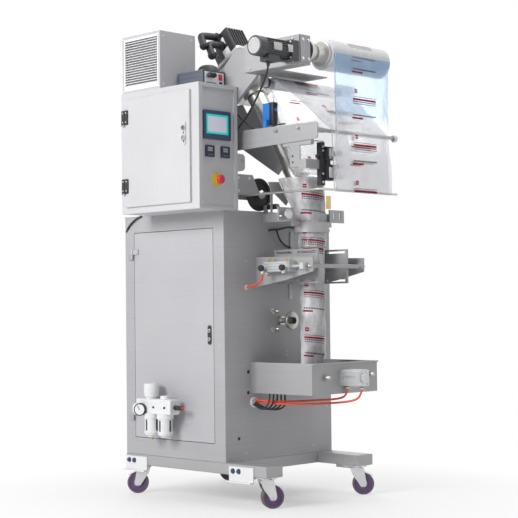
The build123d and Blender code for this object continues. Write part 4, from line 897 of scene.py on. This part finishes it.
# film web: from the roll down round the bar, up over the rod and the roller, and down to the collar
webLook = {"left": 187.0, "right": 559.0, "columns": 24, "step": 34.0, "still": 90.0, "crease": 0.22, "depth": 0.006,
    "wall": 0.0008}
webLine = [(-500.9, 1952), (-500.9, 1364), (-499.1, 1359.7), (-495, 1358), (-490.9, 1359.7), (-489.2, 1364),
    (-478.4, 1613), (-472.9, 1627.5),
    (-146.3, 1884.5), (-132, 1889.8), (-118, 1887.3), (-107.3, 1878), (-102.3, 1864), (-105.4, 1849.1), (-252, 1446)]
webRuns = [(y1 - y0, z1 - z0, math.hypot(y1 - y0, z1 - z0)) for (y0, z0), (y1, z1) in zip(webLine, webLine[1:])]


def webPiece():
    # the far row of a grid, drawn out along the web's line
    letGo()
    columns = webLook["columns"]
    bpy.ops.mesh.primitive_grid_add(x_subdivisions=columns, y_subdivisions=1, size=2)
    piece = bpy.context.object
    piece.name = "filmWeb"
    editAll()
    bpy.ops.mesh.select_all(action="DESELECT")
    bpy.ops.object.mode_set(mode="OBJECT")
    for corner in piece.data.vertices:
        corner.select = corner.co.y > 0
    bpy.ops.object.mode_set(mode="EDIT")
    bpy.ops.mesh.delete(type="VERT")
    bpy.ops.mesh.select_all(action="SELECT")
    low, high = spot(webLook["left"], *webLine[0]), spot(webLook["right"], *webLine[0])
    bpy.ops.transform.resize(value=((high.x - low.x) / 2, 1, 1))
    bpy.ops.transform.translate(value=((high.x + low.x) / 2, low.y + 1, low.z))
    free = [0.0]   # how far each row is from a bar or roller
    for across, up, run in webRuns:
        rows = max(1, round(run / webLook["step"]))
        for row in range(rows):
            bpy.ops.mesh.extrude_region_move(TRANSFORM_OT_translate={"value": (0, across / rows / 1000,
                up / rows / 1000)})
            away = min(row + 1, rows - row - 1) * run / rows
            free.append(min(1.0, away / webLook["still"]) if rows > 1 else 0.0)
    leaveEdit()
    group = piece.vertex_groups.new(name="free")
    perRow = columns + 1
    for row, weight in enumerate(free):
        group.add(list(range(row * perRow, (row + 1) * perRow)), weight, "REPLACE")
    return creased(piece, webLook["crease"], webLook["depth"], webLook["wall"], "free")


filmWeb = finished(webPiece(), "machine", webFinish(), "filmWeb")
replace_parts(filmWeb, "film_web")
webLength = sum(run for across, up, run in webRuns) / 1000
print("film web", round(webLength, 3))

# forming collar, the film that it draws round the tube, and the bag: rings of (z, x, y, half width, half depth)
collarLook = {
    "wall": 0.002, "filmGap": 4.5, "filmTop": (1446, 348.5, -147, 99, 106), "step": 6.0, "sides": 110,
    "crease": 0.026, "depth": 0.012,
    "rings": [(1200, 373, -186, 61.6, 61.6), (1252, 373, -186, 61.8, 61.8), (1290, 367, -181, 66, 66),
        (1340, 360, -170, 75, 77), (1390, 354, -158, 84, 88), (1436, 349, -148, 92, 99)],
    "onTube": [(1132, 373, -186, 60.5, 60.5), (1196, 373, -186, 62.5, 62.5)],
}
bagLook = {
    "step": 7.0, "sides": 96, "crease": 0.04, "depth": 0.011,
    "rings": [(601, 373, -186, 72, 33), (640, 373, -186, 69, 38), (700, 373, -186, 64, 46.5),
        (760, 373, -186, 59.5, 52), (811, 373, -186, 56, 55.5), (1000, 373, -186, 55.6, 55.6),
        (1131, 373, -186, 56, 56)],
}
filmWall = 0.0006
collarShoulder = drawnOut("collarShoulder", collarLook["rings"], 48)
choose(collarShoulder)
collarWall = collarShoulder.modifiers.new("wall", "SOLIDIFY")
collarWall.thickness = collarLook["wall"]
collarWall.offset = 1
bpy.ops.object.modifier_apply(modifier=collarWall.name)
bpy.ops.object.shade_smooth_by_angle(angle=smoothAngle)
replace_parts(finished(collarShoulder, "machine", "bright"), "forming_collar")


def between(rings, step):
    # rings at an even step between those given
    full = [rings[0]]
    for low, high in zip(rings, rings[1:]):
        count = max(1, round(abs(high[0] - low[0]) / step))
        full += [tuple(a + (b - a) * k / count for a, b in zip(low, high)) for k in range(1, count + 1)]
    return full


filmGap = collarLook["filmGap"]
overCollar = [(z, x, y, wide + filmGap, deep + filmGap) for z, x, y, wide, deep in collarLook["rings"][:-1]]
collarLook["filmRings"] = collarLook["onTube"] + overCollar + [collarLook["filmTop"]]
collarFilm = drawnOut("collarFilm", between(collarLook["filmRings"], collarLook["step"]), collarLook["sides"])
creased(collarFilm, collarLook["crease"], collarLook["depth"], filmWall)
finished(collarFilm, "machine", bagFinish("collarFilm", 0.055, 0.06, 0.82))
filmBag = drawnOut("filmBag", between(bagLook["rings"], bagLook["step"]), bagLook["sides"])
creased(filmBag, bagLook["crease"], bagLook["depth"], filmWall)
finished(filmBag, "machine", bagFinish("filmBag", 0.09, 0.052, 0.88))
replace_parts(filmBag, "film_bag")
for piece, rings in ((collarFilm, collarLook["filmRings"]), (filmBag, bagLook["rings"])):
    girth = sum(math.pi * (ring[3] + ring[4]) for ring in rings) / len(rings) / 1000
    (rings[-1][0] - rings[0][0]) / 1000
    print(piece.name, "girth", round(girth, 3), "long", (rings[-1][0] - rings[0][0]) / 1000)
print("film on the collar and tube")

# clamp station
clampTurned = {
    "elbowCaps": ("black", towardLeft, [(137.5, y, 1040) for y in (-232, -104)], 26,
        [(12.5, 0), (13.5, 2), (13.5, 15), (11.5, 18), (6, 18)]),
    "clampFittings": ("brass", towardTop, [(178, -120, 1070), (178, -216, 1070)], 6,
        [(6, 0), (6, 5), (4, 6), (4, 12), (5, 13), (5, 18)]),
    "clampRing": ("whitePlastic", towardFront, [(139, -0.3, 957)], 24, [(11, 0), (11, 2), (9.5, 3.5), (6, 3.5)]),
}
clampBolts = {
    "clampScrews": ("zinc", capScrew, 4.5, towardLeft, 0,
        [(153.5, y, 1046 + dz) for y in (-242, -94) for dz in (-17, 17)]),
    "barScrews": ("zinc", panScrew, 4.0, towardFront, 30,
        [(421, -5, z) for z in (912, 966)] + [(431, -7, z) for z in (1118, 1204)]),
}
clampGrooves = {"rises": (1034, 1046, 1058), "half": 1.6, "bevel": 0.0005}
half = clampGrooves["half"]
clampNuts = {"size": 8.0, "sides": ((201.5, towardLeft), (544.5, towardRight)), "rodRise": 1046,
    "rear": ((-80, 1016), (-80, 1076))}
addTurned(clampTurned)
addFasteners(clampBolts)
grooves = [block("groove", spot(152.9, -238, z - half), spot(154, -98, z + half), clampGrooves["bevel"])
    for z in clampGrooves["rises"]]
finished(joined(grooves), "machine", "frame", "clampGrooves")
copies(domeNut(clampNuts["size"]), "clampNuts", "machine", "bright",
    [(spot(x, -335, clampNuts["rodRise"]), facing, 0) for x, facing in clampNuts["sides"]]
    + [(spot(x, y, z), facing, 0) for x, facing in clampNuts["sides"] for y, z in clampNuts["rear"]])
frontBars = [((421, -7, 1106), (442, 0, 1216)), ((411, -5, 900), (432, 0, 980))]
finished(joined([block("bar", spot(*low), spot(*high), 0.0012) for low, high in frontBars]), "machine", "frame",
    "frontBars")

# drive disc and seal tray
discHub = [(16, 0), (16, 3), (13, 5), (9, 5), (8, 1.5)]
trayTurned = {
    "driveStuds": ("zinc", towardFront, [(302, 0, z) for z in (849, 768)], 24,
        [(12, 0), (12, 3), (6.5, 4), (6.5, 27)]),
    "ramBoss": ("silver", towardFront, [(373, -482, 556)], 32, [(21, 0), (22, 2), (22, 5), (19, 7), (10, 7)]),
    "ramFittings": ("black", towardFloor, [(373, y, 520) for y in (-468, -386)], 24,
        [(8, 0), (8, 5), (6.5, 6), (6.5, 14)]),
    "speedScrews": ("brass", towardFloor, [(385, y, 514) for y in (-468, -386)], 16,
        [(4, 0), (4, 8), (5.5, 9), (5.5, 15), (3, 16)]),
    "glandRing": ("whitePlastic", towardFront, [(176, -0.5, 444)], 32,
        [(23, 0), (24, 2), (24, 8), (22, 10), (18, 10)]),
}
trayBolts = {
    "driveNuts": ("bright", domeNut, 9.0, towardFront, 0, [(302, -26, z) for z in (849, 768)]),
    "trayNuts": ("bright", domeNut, 11.0, towardFront, 0, [(245, -381, 560), (535, -381, 564)]),
    "ramScrews": ("zinc", capScrew, 5.0, towardFront, 0,
        [(373 + dx, -482, 556 + dz) for dx in (-27, 27) for dz in (-27, 27)]),
}
addTurned({"discHub": ("black", towardFront, [(350, -89, 806)], 30, discHub)}, "drive_disc")
addTurned(trayTurned)
addFasteners(trayBolts)

# hoses and cables, each held at both ends: radius, finish, points
hoseRadius, cableRadius = 0.0046, 0.0038
cords = {
    "clampCable": (0.0045, "rubber", [(283, -1, 1216), (300, -12, 1222), (325, -16, 1220), (395, -18, 1236),
        (447, -16, 1233), (480, -10, 1222), (484, -1, 1216)]),
    "sensorCable": (0.0042, "rubber", [(322, -14, 1220), (328, -16, 1195), (345, -16, 1170), (380, -14, 1146),
        (424, -4, 1142)]),
    "cableSleeve": (0.0052, "red", [(440, -16.5, 1234.5), (452, -15, 1233), (466, -13, 1228)]),
    "clampHose": (hoseRadius, "hose", [(137.5, -104, 1017), (137.5, -104, 996), (138, -88, 978), (139, -40, 962),
        (139, 0, 957)]),
    "motorLead": (0.0042, "rubber", [(-136, -422, 1884), (-136, -422, 1850), (-96, -350, 1800), (0, -190, 1735),
        (83, -50, 1690), (83, 8, 1650), (83, 10, 1553)]),
    "eyeLead": (0.0036, "rubber", [(86, 4, 1740), (92, -40, 1696), (112, -92, 1652), (116, -150, 1642),
        (106, -230, 1664), (102, -285, 1660)]),
    "rearLead": (0.0045, "rubber", [(-6, 548, 1300), (-7, 580, 1292), (-6, 622, 1270), (-5, 652, 1246),
        (1, 666, 1230)]),
}
for number, (y, sag) in enumerate(((-468, 440), (-386, 450))):
    cords["trayHose" + str(number)] = (hoseRadius, "hose",
        [(373, y, 507), (373, y + 2, 484), (366, y + 30, 455 + 6 * number), (310, y + 150, sag + 2),
            (250, -170 + 40 * number, sag - 4), (196 - 10 * number, -46, sag), (186 - 10 * number, 1, sag + 6)])
for number in range(5):
    x = 183 + 24 * number
    cords["heaterCable" + str(number)] = (cableRadius, "rubber",
        [(x, -96, 487), (x, -96, 466), (x - 6, -90 - 4 * number, 432 - 3 * number),
            (x - 14 - 5 * number, -62, 412 - 2 * number), (170 + 4.5 * number, -30, 424 + 3 * (number % 3)),
            (168 + 4.5 * number, 1, 438 + 5 * (number % 3))])
standsFor = {"trayHose0": "air_hoses", "heaterCable0": "cables"}
for name, (radius, look, points) in cords.items():
    cord = tube(name, radius, look, points)
    if name in standsFor:
        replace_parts(cord, standsFor[name])
print("tray fitted")

# floor, light and camera
letGo()
bpy.ops.mesh.primitive_plane_add(size=60, location=(0, 0, 0))
floor = bpy.context.object
floor.name = "floor"


def floorFinish():
    f = Finish("paleFloor")
    grain = f.noise(30.0)
    f.surface(Base_Color=f.mix(grain, (0.9, 0.9, 0.9), (0.92, 0.92, 0.92)), Roughness=0.9)
    glow = f.node("ShaderNodeEmission", {}, (1, 1, 1), 1.0)
    flat = f.node("ShaderNodeCombineXYZ", {}, f.x, f.y, 0.0)
    pale = f.clip(0.62 + (f.length(flat) - 0.7) * 0.45)    # the floor's shadow stays near the machine
    f.show(f.node("ShaderNodeMixShader", {}, f.seen() * pale, Wire(f, f.shader.outputs[0]), glow).socket)
    return f.material


floor.data.materials.append(floorFinish())

worldLook = {"light": 0.2, "backdrop": 1.0}
world = bpy.data.worlds.new("studio")
bpy.context.scene.world = world
sky = Nodes(world, "ShaderNodeOutputWorld")
soft, white = (sky.node("ShaderNodeBackground", {}, (1, 1, 1), worldLook[key]) for key in ("light", "backdrop"))
sky.show(sky.node("ShaderNodeMixShader", {}, sky.seen(), soft, white).socket)

lamps = {
    "keyLamp": {"place": (-4.9, 0.2, 3.0), "aim": (0, 0, 1.1), "size": 2.2, "power": 205.0},
    "fillLamp": {"place": (1.8, -4.6, 2.6), "aim": (0, 0, 1.0), "size": 2.6, "power": 14.0},
    "topLamp": {"place": (0.4, -0.9, 4.6), "aim": (0, 0, 1.0), "size": 2.4, "power": 58.0},
    "backLamp": {"place": (2.6, 3.6, 3.2), "aim": (0, 0, 1.2), "size": 2.5, "power": 75.0},
}
for lampName, lamp in lamps.items():
    light = bpy.data.lights.new(lampName, "AREA")
    light.size = lamp["size"]
    light.energy = lamp["power"]
    holder = bpy.data.objects.new(lampName, light)
    bpy.context.collection.objects.link(holder)
    holder.location = lamp["place"]
    holder.rotation_euler = (Vector(lamp["aim"]) - Vector(lamp["place"])).to_track_quat("-Z", "Y").to_euler()

view = {"place": (-4.4345, -4.4829, 0.878), "azimuth": -45.09, "elevation": -1.91, "roll": -0.64, "lens": 95.8}
azimuth, elevation, roll = (math.radians(view[key]) for key in ("azimuth", "elevation", "roll"))
forward = Vector((-math.sin(azimuth) * math.cos(elevation), math.cos(azimuth) * math.cos(elevation),
    -math.sin(elevation)))
levelRight = Vector((math.cos(azimuth), math.sin(azimuth), 0))
levelUp = levelRight.cross(forward)
camRight = math.cos(roll) * levelRight + math.sin(roll) * levelUp
camUp = math.cos(roll) * levelUp - math.sin(roll) * levelRight
camera = bpy.data.objects.new("camera", bpy.data.cameras.new("camera"))
bpy.context.collection.objects.link(camera)
camera.data.lens = view["lens"]
camera.data.sensor_width = 36.0
camera.data.clip_end = 100.0
stand = Matrix((camRight, camUp, -forward)).transposed().to_4x4()
stand.translation = Vector(view["place"])
camera.matrix_world = stand
bpy.context.scene.camera = camera
bpy.context.scene.view_settings.view_transform = "Standard"

print("scene ready")
